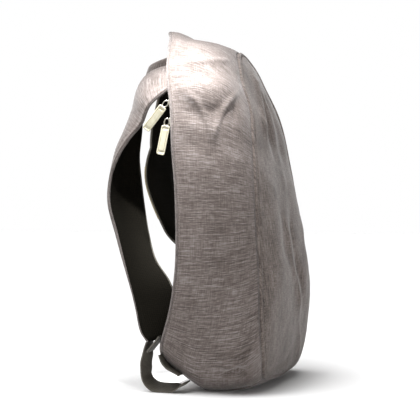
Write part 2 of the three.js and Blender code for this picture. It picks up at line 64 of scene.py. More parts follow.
FOLD_FADE = 0.25  # the share of its length over which a fold fades at each end
FOLD_END = 0.15  # the share of its lift that is left at its ends
FLANK_FADE = 24.0  # the width over which a fold that belongs to one flank fades out

Array = np.ndarray


class Flank(Enum):
    """The side of the bag that a strap or a fold is on, with the sign of X there."""

    LEFT = -1
    BOTH = 0
    RIGHT = 1


@dataclass(frozen=True)
class PhotoView:
    """The photograph's camera: level, and turned forward of a pure side view."""

    side_px: int = 420
    centre_px: float = 210.0
    horizon_px: float = 208.0
    focal_px: float = 1192.0
    turn: float = math.radians(18.0)
    distance: float = 1606.0
    aim_y: float = 4.0
    height: float = 230.0

    @property
    def look(self) -> tuple[float, float, float]:
        """The way it looks."""
        return (math.cos(self.turn), math.sin(self.turn), 0.0)

    @property
    def place(self) -> Array:
        """Where it stands."""
        return np.array([0.0, self.aim_y, self.height]) - self.distance * np.array(self.look)

    def pixels(self, points: Array, is_mirrored: bool = False) -> Array:
        """Where points fall in the photograph.

        Args:
            points: in millimetres from the bag's own zero.
            is_mirrored: whether the right flank is looked at as if it were the left one.

        Returns:
            Two numbers for each point.
        """
        off = points * np.array([-1.0 if is_mirrored else 1.0, 1.0, 1.0]) - self.place
        ahead_x, ahead_y, _ = self.look
        deep = off[..., 0] * ahead_x + off[..., 1] * ahead_y
        right = off[..., 0] * ahead_y - off[..., 1] * ahead_x
        across = self.centre_px + self.focal_px * right / deep
        down = self.horizon_px - self.focal_px * off[..., 2] / deep
        return np.stack([across, down], axis=-1)


@dataclass(frozen=True)
class Wave:
    """A smooth swell or dip: its height, where it peaks, how far it spreads and how flat its top is."""

    height: float
    at: float
    spread: float
    flatness: int = 2

    def over(self, places: Array) -> Array:
        """Its height at each place."""
        return self.height * np.exp(-(((places - self.at) / self.spread) ** self.flatness))


PHOTO = PhotoView()


def linear(code: str, alpha: float = 1.0) -> tuple[float, float, float, float]:
    """Turn an sRGB hex colour into Blender's linear one.

    Args:
        code: six hex digits, such as "8a817c".
        alpha: the fourth number.

    Returns:
        Red, green, blue and alpha.
    """
    channels = [int(code[i : i + 2], 16) / 255 for i in (0, 2, 4)]
    lit = [c / 12.92 if c <= 0.04045 else ((c + 0.055) / 1.055) ** 2.4 for c in channels]
    return (lit[0], lit[1], lit[2], alpha)


def ease(share: Array) -> Array:
    """A smooth step from 0 to 1."""
    t = np.clip(share, 0, 1)
    return t * t * (3 - 2 * t)


def between(share: Array, start: float, rise: float, end: float, fall: float) -> Array:
    """1 between two shares, with a smooth rise after the first and a smooth fall before the second."""
    return ease((share - start) / rise) * ease((end - share) / fall)


def smooth_curve(rows: Sequence[tuple[float, float]]) -> Callable[[Array], Array]:
    """A smooth curve through a short table.

    Args:
        rows: pairs of key and value, keys rising.

    Returns:
        A function that gives the value at any key.
    """
    keys = np.array([row[0] for row in rows], float)
    values = np.array([row[1] for row in rows], float)
    last = len(keys) - 1
    dense_keys, dense_values = [], []
    for i in range(last):
        before, after = max(0, i - 1), min(last, i + 2)
        span = keys[i + 1] - keys[i]
        slope_a = (values[i + 1] - values[before]) / (keys[i + 1] - keys[before]) * span
        slope_b = (values[after] - values[i]) / (keys[after] - keys[i]) * span
        t = np.linspace(0, 1, 60, endpoint=i == last - 1)
        dense_keys.append(keys[i] + t * span)
        dense_values.append(
            (2 * t**3 - 3 * t**2 + 1) * values[i]
            + (t**3 - 2 * t**2 + t) * slope_a
            + (3 * t**2 - 2 * t**3) * values[i + 1]
            + (t**3 - t**2) * slope_b
        )
    all_keys, all_values = np.concatenate(dense_keys), np.concatenate(dense_values)
    return lambda at: np.interp(at, all_keys, all_values)


def unit(vectors: Array) -> Array:
    """Vectors of length one."""
    return vectors / np.maximum(np.linalg.norm(vectors, axis=-1, keepdims=True), 1e-9)


def add_node(
    tree: bpy.types.NodeTree,
    kind: str,
    inputs: Optional[dict] = None,
    **settings: object,
) -> bpy.types.Node:
    """Add a shader node with its settings, its values and its links.

    Args:
        tree: the material's node tree.
        kind: the node's Blender type name.
        inputs: by socket name or number, a value or the output socket to link from.
        settings: the node's own properties.

    Returns:
        The node.
    """
    node = tree.nodes.new(kind)
    for name, value in settings.items():
        setattr(node, name, value)
    for key, value in (inputs or {}).items():
        if isinstance(value, bpy.types.NodeSocket):
            tree.links.new(value, node.inputs[key])
        else:
            node.inputs[key].default_value = value
    return node


def set_stops(node: bpy.types.Node, stops: Sequence[tuple[float, str]]) -> None:
    """Give a colour ramp its stops.

    Args:
        node: the ramp.
        stops: pairs of position and sRGB hex colour.
    """
    elements = node.color_ramp.elements
    while len(elements) < len(stops):
        elements.new(0.5)
    for element, (position, code) in zip(elements, stops):
        element.position = position
        element.color = linear(code)


def begin_material(name: str) -> bpy.types.Material:
    """Make a material with an empty tree.

    Args:
        name: what the material is.

    Returns:
        The material.
    """
    material = bpy.data.materials.new(name)
    material.use_nodes = True
    material.node_tree.nodes.clear()
    return material


def end_material(material: bpy.types.Material, surface: dict) -> bpy.types.Material:
    """Give a material its shader.

    Args:
        material: one whose pattern nodes are made.
        surface: the shader's values and links, by socket.

    Returns:
        The material.
    """
    shader = add_node(material.node_tree, "ShaderNodeBsdfPrincipled", surface)
    add_node(material.node_tree, "ShaderNodeOutputMaterial", {"Surface": shader.outputs["BSDF"]})
    return material


@dataclass(frozen=True)
class MarledWeave:
    """Polyester plain weave of slubbed two-tone yarn.

    The eye gets a matt, warm grey cloth, streaked along the weft, with a faint bloom of fibres at its edges.
    """

    name: str = "marled_slub_weave"
    dark: str = "342c27"
    middle: str = "615651"
    light: str = "8c8583"
    slub_length: float = 32.0
    slub_height: float = 1.35  # a real slub is about 0.6 mm high: drawn coarser so that it shows
    thread: float = 1.1  # the real threads are 0.5 mm apart: drawn coarser so that they show
    cloud: tuple[float, float] = (34.0, 26.0)
    short_share: float = 0.40
    warp_share: float = 0.20
    cloud_share: float = 0.14
    thread_share: float = 0.18
    ior: float = 1.57

    def build(self) -> bpy.types.Material:
        """Make the material.

        Returns:
            A material that reads the cloth map, whose first number runs along the weft, in metres.
        """
        material = begin_material(self.name)
        tree = material.node_tree
        cloth = add_node(tree, "ShaderNodeUVMap", uv_map=CLOTH_MAP).outputs["UV"]
        grains = []
        for length, height, detail in (
            (self.slub_length, self.slub_height, 3.0),
            (self.slub_length / 4, self.slub_height * 0.8, 2.0),
            (self.slub_height * 0.9, self.slub_length / 2, 2.0),
            (*self.cloud, 2.0),
        ):
            drawn = add_node(
                tree,
                "ShaderNodeMapping",
                {"Vector": cloth, "Scale": (1 / (length * MM), 1 / (height * MM), 1.0)},
            )
            grain = add_node(
                tree,
                "ShaderNodeTexNoise",
                {"Vector": drawn.outputs["Vector"], "Scale": 1.0, "Detail": detail, "Roughness": 0.6},
                noise_dimensions="2D",
            )
            grains.append(grain.outputs["Fac"])
        long_slubs, short_slubs, warp, cloud = grains
        slubs = add_node(tree, "ShaderNodeMix", {0: self.short_share, 2: long_slubs, 3: short_slubs})
        woven = add_node(tree, "ShaderNodeMix", {0: self.warp_share, 2: slubs.outputs[0], 3: warp})
        tone = add_node(tree, "ShaderNodeMix", {0: self.cloud_share, 2: woven.outputs[0], 3: cloud})
        ramp = add_node(tree, "ShaderNodeValToRGB", {"Fac": tone.outputs[0]})
        set_stops(ramp, [(0.35, self.dark), (0.50, self.middle), (0.66, self.light)])

        pitch = 2 * math.pi / (self.thread * MM)
        scaled = add_node(
            tree,
            "ShaderNodeVectorMath",
            {0: cloth, 1: (pitch, pitch, 0.0)},
            operation="MULTIPLY",
        )
        apart = add_node(tree, "ShaderNodeSeparateXYZ", {0: scaled.outputs[0]})
        over = add_node(tree, "ShaderNodeMath", {0: apart.outputs[0]}, operation="SINE")
        under = add_node(tree, "ShaderNodeMath", {0: apart.outputs[1]}, operation="SINE")
        cross = add_node(
            tree,
            "ShaderNodeMath",
            {0: over.outputs[0], 1: under.outputs[0]},
            operation="MULTIPLY",
        )
        relief = add_node(
            tree,
            "ShaderNodeMath",
            {0: cross.outputs[0], 1: self.thread_share, 2: woven.outputs[0]},
            operation="MULTIPLY_ADD",
        )
        bump = add_node(
            tree,
            "ShaderNodeBump",
            {"Strength": 0.35, "Distance": 0.6 * MM, "Height": relief.outputs[0]},
        )
        surface = {
            "Base Color": ramp.outputs["Color"],
            "Normal": bump.outputs["Normal"],
            "Roughness": 0.82,
            "IOR": self.ior,
            "Sheen Weight": 0.25,
            "Sheen Roughness": 0.45,
        }
        return end_material(material, surface)


@dataclass(frozen=True)
class SpacerMesh:
    """Warp-knitted polyester spacer mesh, near black.

    The eye gets small round holes in rows, which swallow the light.
    """

    name: str = "dark_spacer_mesh"
    yarn: str = "15120b"
    hole: str = "070603"
    cell: float = 2.4
    ior: float = 1.57

    def build(self) -> bpy.types.Material:
        """Make the material.

        Returns:
            A material that reads the cloth map.
        """
        material = begin_material(self.name)
        tree = material.node_tree
        cloth = add_node(tree, "ShaderNodeUVMap", uv_map=CLOTH_MAP).outputs["UV"]
        cells = add_node(
            tree,
            "ShaderNodeTexVoronoi",
            {"Vector": cloth, "Scale": 1 / (self.cell * MM), "Randomness": 0.25},
            voronoi_dimensions="2D",
        )
        ramp = add_node(tree, "ShaderNodeValToRGB", {"Fac": cells.outputs["Distance"]})
        set_stops(ramp, [(0.18, self.hole), (0.42, self.yarn)])
        bump = add_node(
            tree,
            "ShaderNodeBump",
            {"Strength": 0.5, "Distance": 0.8 * MM, "Height": cells.outputs["Distance"]},
        )
        surface = {
            "Base Color": ramp.outputs["Color"],
            "Normal": bump.outputs["Normal"],
            "Roughness": 0.95,
            "IOR": self.ior,
            "Specular IOR Level": 0.12,
        }
        return end_material(material, surface)


@dataclass(frozen=True)
class RibbedWebbing:
    """Nylon webbing, woven and pressed flat.

    The eye gets ribs across its width, with a dull gleam along each; the colour is painted light on each
    rib's crest and dark in the grooves, as painted highlight and painted shade.
    """

    name: str = "ribbed_nylon_webbing"
    # the groove colour is painted shade and the crest colour painted highlight
    dark: str = "38342d"
    light: str = "69645a"
    rib: float = 1.6
    ior: float = 1.53

    def build(self) -> bpy.types.Material:
        """Make the material.

        Returns:
            A material that reads the cloth map, whose second number runs along the webbing.
        """
        material = begin_material(self.name)
        tree = material.node_tree
        cloth = add_node(tree, "ShaderNodeUVMap", uv_map=CLOTH_MAP).outputs["UV"]
        scale = 1 / (self.rib * MM) / BANDS_PER_UNIT
        ribs = add_node(
            tree,
            "ShaderNodeTexWave",
            {"Vector": cloth, "Scale": scale, "Distortion": 0.6, "Detail": 1.0},
            wave_type="BANDS",
            bands_direction="Y",
        )
        # the ramp gives the rib crests the light colour and the grooves the dark one: painted highlight and
        # painted shade
        ramp = add_node(tree, "ShaderNodeValToRGB", {"Fac": ribs.outputs["Fac"]})
        set_stops(ramp, [(0.1, self.dark), (0.9, self.light)])
        bump = add_node(
            tree,
            "ShaderNodeBump",
            {"Strength": 0.6, "Distance": 0.4 * MM, "Height": ribs.outputs["Fac"]},
        )
        surface = {
            "Base Color": ramp.outputs["Color"],
            "Normal": bump.outputs["Normal"],
            "Roughness": 0.62,
            "IOR": self.ior,
        }
        return end_material(material, surface)


@dataclass(frozen=True)
class Enamel:
    """Cream enamel, sprayed and baked on die-cast zinc.

    The eye gets a soft even gloss with a little orange peel and faint rubbed patches.
    """

    name: str = "cream_enamel"
    colour: str = "cfcab4"
    rubbed: str = "c6c0a8"
    patch: float = 4.5
    peel: float = 1.1  # real orange peel is finer: drawn coarser so that it shows
    ior: float = 1.5

    def build(self) -> bpy.types.Material:
        """Make the material.

        Returns:
            A material in object space.
        """
        material = begin_material(self.name)
        tree = material.node_tree
        place = add_node(tree, "ShaderNodeTexCoord").outputs["Object"]
        patches = add_node(
            tree,
            "ShaderNodeTexNoise",
            {"Vector": place, "Scale": 1 / (self.patch * MM), "Detail": 3.0},
        )
        ramp = add_node(tree, "ShaderNodeValToRGB", {"Fac": patches.outputs["Fac"]})
        set_stops(ramp, [(0.42, self.rubbed), (0.62, self.colour)])
        peel = add_node(tree, "ShaderNodeTexNoise", {"Vector": place, "Scale": 1 / (self.peel * MM)})
        bump = add_node(
            tree,
            "ShaderNodeBump",
            {"Strength": 0.12, "Distance": 0.3 * MM, "Height": peel.outputs["Fac"]},
        )
        surface = {
            "Base Color": ramp.outputs["Color"],
            "Normal": bump.outputs["Normal"],
            "Roughness": 0.34,
            "IOR": self.ior,
            "Coat Weight": 0.2,
        }
        return end_material(material, surface)


@dataclass(frozen=True)
class DrawnSteel:
    """Nickel-plated steel wire and stampings, drawn and tumbled.

    The eye gets bright metal with fine scratches that soften its gleam.
    """

    name: str = "nickel_plated_steel"
    colour: str = "c6c2b6"
    scratch: float = 1.4  # real scratches are finer: drawn coarser so that they show

    def build(self) -> bpy.types.Material:
        """Make the material.

        Returns:
            A material in object space.
        """
        material = begin_material(self.name)
        tree = material.node_tree
        place = add_node(tree, "ShaderNodeTexCoord").outputs["Object"]
        scratches = add_node(
            tree,
            "ShaderNodeTexNoise",
            {"Vector": place, "Scale": 1 / (self.scratch * MM), "Detail": 4.0},
        )
        rough = add_node(
            tree,
            "ShaderNodeMapRange",
            {"Value": scratches.outputs["Fac"], "To Min": 0.22, "To Max": 0.42},
        )
        surface = {
            "Base Color": linear(self.colour),
            "Metallic": 1.0,
            "Roughness": rough.outputs["Result"],
        }
        return end_material(material, surface)


@dataclass(frozen=True)
class NylonCoil:
    """Extruded nylon or polyester monofilament, as in a zip's coil or sewing thread.

    The eye gets a dark line with a waxy gleam.
    """

    name: str = "nylon_zip"
    dark: str = "201d1a"
    light: str = "38332d"
    rough: float = 0.5
    grain: float = 1.25
    ior: float = 1.53

    def build(self) -> bpy.types.Material:
        """Make the material.

        Returns:
            A material in object space.
        """
        material = begin_material(self.name)
        tree = material.node_tree
        place = add_node(tree, "ShaderNodeTexCoord").outputs["Object"]
        grain = add_node(
            tree,
            "ShaderNodeTexNoise",
            {"Vector": place, "Scale": 1 / (self.grain * MM), "Detail": 2.0},
        )
        ramp = add_node(tree, "ShaderNodeValToRGB", {"Fac": grain.outputs["Fac"]})
        set_stops(ramp, [(0.35, self.dark), (0.65, self.light)])
        surface = {"Base Color": ramp.outputs["Color"], "Roughness": self.rough, "IOR": self.ior}
        return end_material(material, surface)


class Finishes:
    """Every finish on the bag, made once."""

    def __init__(self) -> None:
        """Make the materials."""
        self.marl = MarledWeave().build()
        # the front panel's copy of the marl: its weft runs upright, and its colours are darker than the
        # band's as painted shade
        self.front = MarledWeave(
            name="marled_slub_weave_upright_painted_shade",
            dark="2e2622",
            middle="5d524c",
            light="857b76",
            slub_length=22.0,
            slub_height=1.4,
            warp_share=0.26,
        ).build()
        self.binding = MarledWeave(
            name="marled_binding",
            dark="3a3431",
            middle="625a57",
            light="8a827e",
            slub_length=8.0,
            slub_height=1.2,
        ).build()
        self.mesh = SpacerMesh().build()
        self.webbing = RibbedWebbing().build()
        self.tan_tape = RibbedWebbing(name="tan_edge_tape", dark="6f6448", light="9a8d6b").build()
        self.enamel = Enamel().build()
        self.steel = DrawnSteel().build()
        self.zip_nylon = NylonCoil().build()
        self.zip_tape = RibbedWebbing(name="woven_zip_tape", dark="1d1a17", light="35302b", rib=0.9).build()
        self.thread = NylonCoil(name="sewing_thread", dark="6a625e", light="89807b", rough=0.7).build()


def make_mesh(
    name: str,
    vertices: Array,
    faces: Sequence[Sequence[int]],
    material: bpy.types.Material,
    cloth: Optional[Array] = None,
    is_smooth: bool = True,
) -> bpy.types.Object:
    """Make a Blender object from points in millimetres.

    Args:
        name: the piece's name.
        vertices: points, in millimetres from the bag's own zero.
        faces: corners by number.
        material: its finish.
        cloth: for each point, where it lies on the flat cloth, in millimetres.
        is_smooth: whether the faces shade smoothly.

    Returns:
        The object.
    """
    mesh = bpy.data.meshes.new(name)
    placed = (np.asarray(vertices, float) + np.array([0, SHIFT_Y, 0])) * MM
    mesh.from_pydata([tuple(p) for p in placed], [], [tuple(int(i) for i in f) for f in faces])
    layer = mesh.uv_layers.new(name=CLOTH_MAP)
    corners = np.empty(len(mesh.loops), dtype=np.int32)
    mesh.loops.foreach_get("vertex_index", corners)
    flat = np.asarray(cloth, float) if cloth is not None else np.asarray(vertices, float)[:, [1, 2]]
    layer.data.foreach_set("uv", (flat[corners] * MM).ravel())
    mesh.materials.append(material)
    mesh.polygons.foreach_set("use_smooth", [is_smooth] * len(mesh.polygons))
    mesh.update()
    mesh.validate()
    obj = bpy.data.objects.new(name, mesh)
    bpy.context.scene.collection.objects.link(obj)
    return obj


def grid_faces(lines: int, rows: int, is_ring: bool = False) -> list[tuple[int, ...]]:
    """Corners of the faces of a grid of points, line by line.

    Args:
        lines: how many lines of points.
        rows: how many points on each line.
        is_ring: whether the last line joins the first.

    Returns:
        The faces.
    """
    faces = []
    for i in range(lines if is_ring else lines - 1):
        here, ahead = i * rows, (i + 1) % lines * rows
        for j in range(rows - 1):
            faces.append((here + j, ahead + j, ahead + j + 1, here + j + 1))
    return faces


def ring_faces(rings: int, sides: int, start: int = 0, is_loop: bool = False) -> list[tuple[int, ...]]:
    """Corners of the faces of a closed body that is made of rings of points.

    Args:
        rings: how many rings.
        sides: how many points each ring has.
        start: the number of the first point.
        is_loop: whether the last ring joins the first. Else both ends get a cap.

    Returns:
        The faces.
    """
    faces = []
    for i in range(rings if is_loop else rings - 1):
        here, ahead = start + i * sides, start + (i + 1) % rings * sides
        for j in range(sides):
            k = (j + 1) % sides
            faces.append((here + j, here + k, ahead + k, ahead + j))
    if not is_loop:
        last = start + (rings - 1) * sides
        faces.append(tuple(start + j for j in range(sides - 1, -1, -1)))
        faces.append(tuple(last + j for j in range(sides)))
    return faces


def circle(sides: int) -> Array:
    """Evenly spaced angles round a full turn."""
    return np.linspace(0, 2 * math.pi, sides, endpoint=False)


def run_of(points: Array, axis: int = 0) -> Array:
    """Distance run along a line of points, or along one axis of a grid of them."""
    steps = np.linalg.norm(np.diff(points, axis=axis), axis=-1)
    zero = np.zeros_like(np.take(steps, [0], axis=axis))
    return np.concatenate([zero, np.cumsum(steps, axis=axis)], axis=axis)


def grid_normals(points: Array, is_ring: bool = False) -> Array:
    """Unit normals of a grid of points, from its neighbours.

    Args:
        points: lines by rows by three.
        is_ring: whether the last line joins the first.

    Returns:
        One normal for each point.
    """
    if is_ring:
        along = np.roll(points, -1, 0) - np.roll(points, 1, 0)
    else:
        along = np.gradient(points, axis=0)
    across = np.gradient(points, axis=1)
    return unit(np.cross(across, along))


def tube(
    name: str,
    centres: Array,
    radius: float,
    material: bpy.types.Material,
    sides: int = 10,
    is_ring: bool = True,
    up: Optional[Array] = None,
) -> bpy.types.Object:
    """A round cord along a line of points.

    Args:
        name: the piece's name.
        centres: the line, in millimetres.
        radius: its radius.
        material: its finish.
        sides: how many sides its section has.
        is_ring: whether it closes on itself.
        up: a direction off the line at each point.

    Returns:
        The object.
    """
    centres = np.asarray(centres, float)
    tangent = np.roll(centres, -1, 0) - np.roll(centres, 1, 0) if is_ring else np.gradient(centres, axis=0)
    tangent = unit(tangent)
    guide = np.tile([0.0, 1.0, 0.0], (len(centres), 1)) if up is None else up
    across = unit(np.cross(tangent, guide))
    lift = unit(np.cross(across, tangent))
    angles = circle(sides)
    ring = (
        centres[:, None, :]
        + radius * np.cos(angles)[None, :, None] * lift[:, None, :]
        + radius * np.sin(angles)[None, :, None] * across[:, None, :]
    )
    count = len(centres)
    cloth = np.stack([np.repeat(run_of(centres), sides), np.tile(angles * radius, count)], axis=1)
    return make_mesh(name, ring.reshape(-1, 3), ring_faces(count, sides, is_loop=is_ring), material, cloth)


def thicken(obj: bpy.types.Object, thickness: float, offset: float = -1.0) -> None:
    """Give a sheet its thickness.

    Args:
        obj: the sheet.
        thickness: in millimetres.
        offset: -1 grows it inwards, 1 outwards.
    """
    solid = obj.modifiers.new("thickness", "SOLIDIFY")
    solid.thickness = thickness * MM
    solid.offset = offset
    solid.use_even_offset = False


def superellipse_leg(share: Array, power: float) -> Array:
    """The other leg of a superellipse of size one."""
    return np.maximum(0, 1 - share**power) ** (1 / power)


@dataclass(frozen=True)
class Fold:
    """A soft ridge or valley in the cloth.

    Its points are given in the photograph's pixels, and the right flank's folds lie as if that flank
    were seen there in a mirror. Its lift is in millimetres and its spread in pixels.
    """

    flank: Flank
    pixels: Sequence[tuple[float, float]]
    lift: float
    spread: float
    is_crisp: bool = False


@dataclass
class BagShape:
    """The bag's outer skin, by the same rule and sizes as its CAD part."""

    height: float = 467.0
    width: float = 288.0
    bulge_height: float = 280.0
    depth: float = 117.0
    base_power: float = 7.0
    top_power: float = 2.3
    base_trim: float = 3.0
    side_power: float = 2.8
    under_power: float = 5.5
    under_end: float = 0.42
    under_fade: float = 0.20
    over_power: float = 2.3
    over_start: float = 0.72
    over_fade: float = 0.24
    heel_lift: float = 36.0
    heel_run: float = 50.0
    heel_power: float = 1.3
    heel_start: float = -24.0
    heel_fade: float = 120.0
    spine_low: float = 110.0
    spine_high: float = 330.0
    base_reach: float = 0.150
    arch_start: float = 0.76
    arch_turn: float = 0.72
    profile: Sequence[tuple[float, float, float]] = (
        (0.00, 0.240, 1.200),
        (0.07, 0.205, 1.140),
        (0.15, 0.130, 1.085),
        (0.24, 0.055, 1.040),
        (0.36, 0.000, 0.985),
        (0.54, 0.009, 0.885),
        (0.64, 0.043, 0.830),
        (0.76, 0.085, 0.785),
        (0.84, 0.165, 0.785),
        (0.90, 0.215, 0.815),
        (0.94, 0.255, 0.790),
        (0.97, 0.305, 0.620),
        (1.00, 0.440, 0.380),
    )
    seam: Sequence[tuple[float, float]] = (
        (0.00, 0.740),
        (0.04, 0.810),
        (0.11, 0.850),
        (0.24, 0.840),
        (0.39, 0.792),
        (0.56, 0.735),
        (0.70, 0.665),
        (0.80, 0.600),
        (1.00, 0.500),
    )

    def __post_init__(self) -> None:
        """Lay out the curves and the front-view outline."""
        self.back_at = smooth_curve([(self.height * h, self.depth * b) for h, b, _ in self.profile])
        self.depth_at = smooth_curve([(self.height * h, self.depth * d) for h, _, d in self.profile])
        self.seam_at = smooth_curve([(self.height * h, -self.depth * f) for h, f in self.seam])
        half = self.width / 2
        drop = self.bulge_height + self.base_trim
        rise = self.height - self.bulge_height
        low = 0.5 ** (1 / self.base_power)
        high = 0.5 ** (1 / self.top_power)

        t = np.linspace(0, low, 200)
        x = [half * t]
        z = [self.bulge_height - drop * superellipse_leg(t, self.base_power)]
        t = np.linspace(low, 0, 200)[1:]
        x.append(half * superellipse_leg(t, self.base_power))
        z.append(self.bulge_height - drop * t)
        t = np.linspace(0, high, 200)[1:]
        x.append(half * superellipse_leg(t, self.top_power))
        z.append(self.bulge_height + rise * t)
        t = np.linspace(high, 0, 200)[1:]
        x.append(half * t)
        z.append(self.bulge_height + rise * superellipse_leg(t, self.top_power))
        self.out_x, self.out_z = np.concatenate(x), np.concatenate(z)
        run = run_of(np.column_stack([self.out_x, self.out_z]))
        self.out_along = run / run[-1]
        self.half_run = run[-1]
        self.arch_from = float(self.plane_turn(np.array([1 - self.arch_start]))[0])

    def outline(self, station: Array) -> tuple[Array, Array, Array]:
        """The front-view outline.

        Args:
            station: -1 at the base's middle, over the left side to 0 at the peak, and 1 on the right.

        Returns:
            The share of the way up, X and Z.
        """
        along = 1 - np.abs(station)
        x = np.sign(station) * np.interp(along, self.out_along, self.out_x)
        return along, x, np.interp(along, self.out_along, self.out_z)

    def lift_at(self, y: Array) -> Array:
        """How far the base rises at the wearer's side."""
        return self.heel_lift * np.maximum(0, (y - self.heel_start) / self.heel_run) ** self.heel_power

    def heeled(self, x: Array, y: Array, z: Array) -> Array:
        """Points after the heel has lifted what is low down."""
        low = np.maximum(0, z)
        return np.stack([x, y, low + self.lift_at(y) * np.maximum(0, 1 - low / self.heel_fade)], axis=-1)

    def power(self, along: Array) -> Array:
        """How square the section is.

        Args:
            along: the share of the way up the outline.

        Returns:
            The superellipse's power: square near the base, rounder at the sides and the top.
        """
        under = ease((self.under_end - along) / self.under_fade)
        over = ease((along - self.over_start) / self.over_fade)
        side = self.side_power + (self.under_power - self.side_power) * under
        return side + (self.over_power - side) * over

    def skin(self, station: Array, turn: Array) -> Array:
        """Points of the outer skin.

        Args:
            station: where on the outline.
            turn: 0 at the back edge and a quarter turn at the spine of the front.

        Returns:
            Points, with three numbers on the last axis.
        """
        along, edge_x, edge_z = self.outline(station)
        power = self.power(along)
        out = np.clip(np.cos(turn), 0, 1) ** (2 / power)
        ahead = np.clip(np.sin(turn), 0, 1) ** (2 / power)
        spine = self.spine_low + (self.spine_high - self.spine_low) * along
        z = spine + (edge_z - spine) * out
        return self.heeled(edge_x * out, self.back_at(z) - self.depth_at(z) * ahead, z)

    def plane_turn(self, station: Array) -> Array:
        """The turn at which each section meets the seam's own surface."""
        low, high = np.zeros_like(station), np.full_like(station, math.pi / 2)
        for _ in range(30):
            turn = (low + high) / 2
            point = self.skin(station, turn)
            is_short = point[..., 1] > self.seam_at(point[..., 2])
            low, high = np.where(is_short, turn, low), np.where(is_short, high, turn)
        return (low + high) / 2

    def seam_turn(self, station: Array) -> Array:
        """The turn of the seam, which goes over in an arch at the top.

        Args:
            station: where on the outline.

        Returns:
            Turns.
        """
        along = 1 - np.abs(station)
        share = ease((along - self.arch_start) / (1 - self.arch_start))
        arched = self.arch_from + (self.arch_turn - self.arch_from) * share
        return np.where(along < self.arch_start, self.plane_turn(station), arched)

    def sections(self, stations: Array, places: Callable[[Array, Array], Array]) -> tuple[Array, Array]:
        """Turns at chosen distances along each section, from its back edge.

        Args:
            stations: where on the outline.
            places: from each section's run to the seam and its whole run, the distances wanted.

        Returns:
            Turns, and the distances that they stand for.
        """
        dense = np.linspace(0, 1, 400) ** 2.2 * math.pi / 2
        seams = self.seam_turn(stations)
        turns, runs = [], []
        for station, seam in zip(stations, seams):
            points = self.skin(np.full_like(dense, station), dense)
            run = run_of(points)
            wanted = places(np.interp(seam, dense, run), run[-1])
            turns.append(np.interp(wanted, run, dense))
            runs.append(wanted)
        return np.array(turns), np.array(runs)

    def back_face(
        self,
        station: Array,
        inset: Array | float,
        proud: Array | float,
        out: Array | float = 1.0,
        crown: float = 4.0,
    ) -> Array:
        """Points of the face against the wearer.

        Args:
            station: where on the outline.
            inset: distance in from the edge.
            proud: distance off the face.
            out: share of the way out from the spine.
            crown: how far the middle of the face bows.

        Returns:
            Points.
        """
        along, x, z = self.outline(station)
        _, ahead_x, ahead_z = self.outline(station + SLOPE_STEP)
        _, behind_x, behind_z = self.outline(station - SLOPE_STEP)
        normal = unit(np.stack([-(ahead_z - behind_z), ahead_x - behind_x], axis=-1))
        at_x = (x - normal[..., 0] * inset) * out
        spine = self.spine_low + (self.spine_high - self.spine_low) * along
        at_z = spine + (np.maximum(0, z) - normal[..., 1] * inset - spine) * out
        return self.heeled(at_x, self.back_at(at_z) + crown * (1 - out * out) + proud, at_z)


def near_rows(length: float, pitch: float, fine: Sequence[float]) -> Array:
    """Distances along a strip, finer towards both its ends.

    Args:
        length: the strip's width.
        pitch: the spacing of its middle.
        fine: distances from each end that get a row of their own.

    Returns:
        Distances from 0 to the length.
    """
    edge = np.array(fine)
    count = max(2, int(round((length - 2 * edge[-1]) / pitch)))
    middle = np.linspace(edge[-1], length - edge[-1], count)[1:-1]
    return np.concatenate([edge, middle, length - edge[::-1]])


def add_folds(points: Array, normals: Array, folds: Sequence[Fold], free: Array) -> Array:
    """Raise and sink the cloth along its folds.

    Args:
        points: the surface's points.
        normals: their unit normals.
        folds: what to add.
        free: from 0 at a sewn edge to 1 where the cloth is free.

    Returns:
        The moved points.
    """
    shift = np.zeros(points.shape[:-1])
    for fold in folds:
        flat = PHOTO.pixels(points, fold.flank is Flank.RIGHT)
        line = np.array(fold.pixels, float)
        nearest = np.full(flat.shape[:-1], 1e9)
        place = np.zeros_like(nearest)
        pieces = len(line) - 1
        for i in range(pieces):
            span = line[i + 1] - line[i]
            t = np.clip(((flat - line[i]) @ span) / (span @ span), 0, 1)
            gap = np.linalg.norm(flat - (line[i] + t[..., None] * span), axis=-1)
            is_nearer = gap < nearest
            nearest = np.where(is_nearer, gap, nearest)
            place = np.where(is_nearer, (i + t) / pieces, place)
        share = nearest / fold.spread
        shape = 1 / (1 + share**2) ** 2 if fold.is_crisp else np.exp(-(share**2))
        taper = FOLD_END + (1 - FOLD_END) * between(place, 0.0, FOLD_FADE, 1.0, FOLD_FADE)
        if fold.flank is not Flank.BOTH:
            shape = shape * ease(0.5 + fold.flank.value * points[..., 0] / FLANK_FADE)
        shift += FOLD_DEPTH * fold.lift * shape * taper
    return points + normals * (shift * free)[..., None]


@dataclass(frozen=True)
class Crumple:
    """Gentle unevenness of hanging cloth: its waves' width and height, and a number that shifts them."""

    size: float
    height: float
    seed: float = 0.0

    def moved(self, points: Array, normals: Array, free: Array) -> Array:
        """Let the cloth be uneven.

        Args:
            points: the surface's points.
            normals: their unit normals.
            free: from 0 at a sewn edge to 1 where the cloth is free.

        Returns:
            The moved points.
        """
        flat = points.reshape(-1, 3)
        offset = Vector((self.seed, self.seed * 2, self.seed * 3))
        waves = np.array([noise.noise(Vector(p) / self.size + offset) for p in flat])
        waves = waves.reshape(points.shape[:-1])
        return points + normals * (waves * self.height * free)[..., None]


@dataclass
class SubAssembly:
    """What every sub-assembly has: the skin it follows, its finishes and the pieces it has made."""

    shape: BagShape
    finishes: Finishes
    made: list[bpy.types.Object] = field(default_factory=list, init=False)

    def hand_over(self, piece: bpy.types.Object, slot: str, nodes: Sequence[str] = ()) -> bpy.types.Object:
        """Let a piece ride on the bag and hide the CAD nodes that it stands for.

        Args:
            piece: what was made.
            slot: not used.
            nodes: the CAD nodes that it replaces.

        Returns:
            The piece.
        """
        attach(piece, "root")
        if nodes:
            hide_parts(*nodes)
        self.made.append(piece)
        return piece

    def build(self) -> None:
        """Make every piece of the sub-assembly."""
        raise NotImplementedError


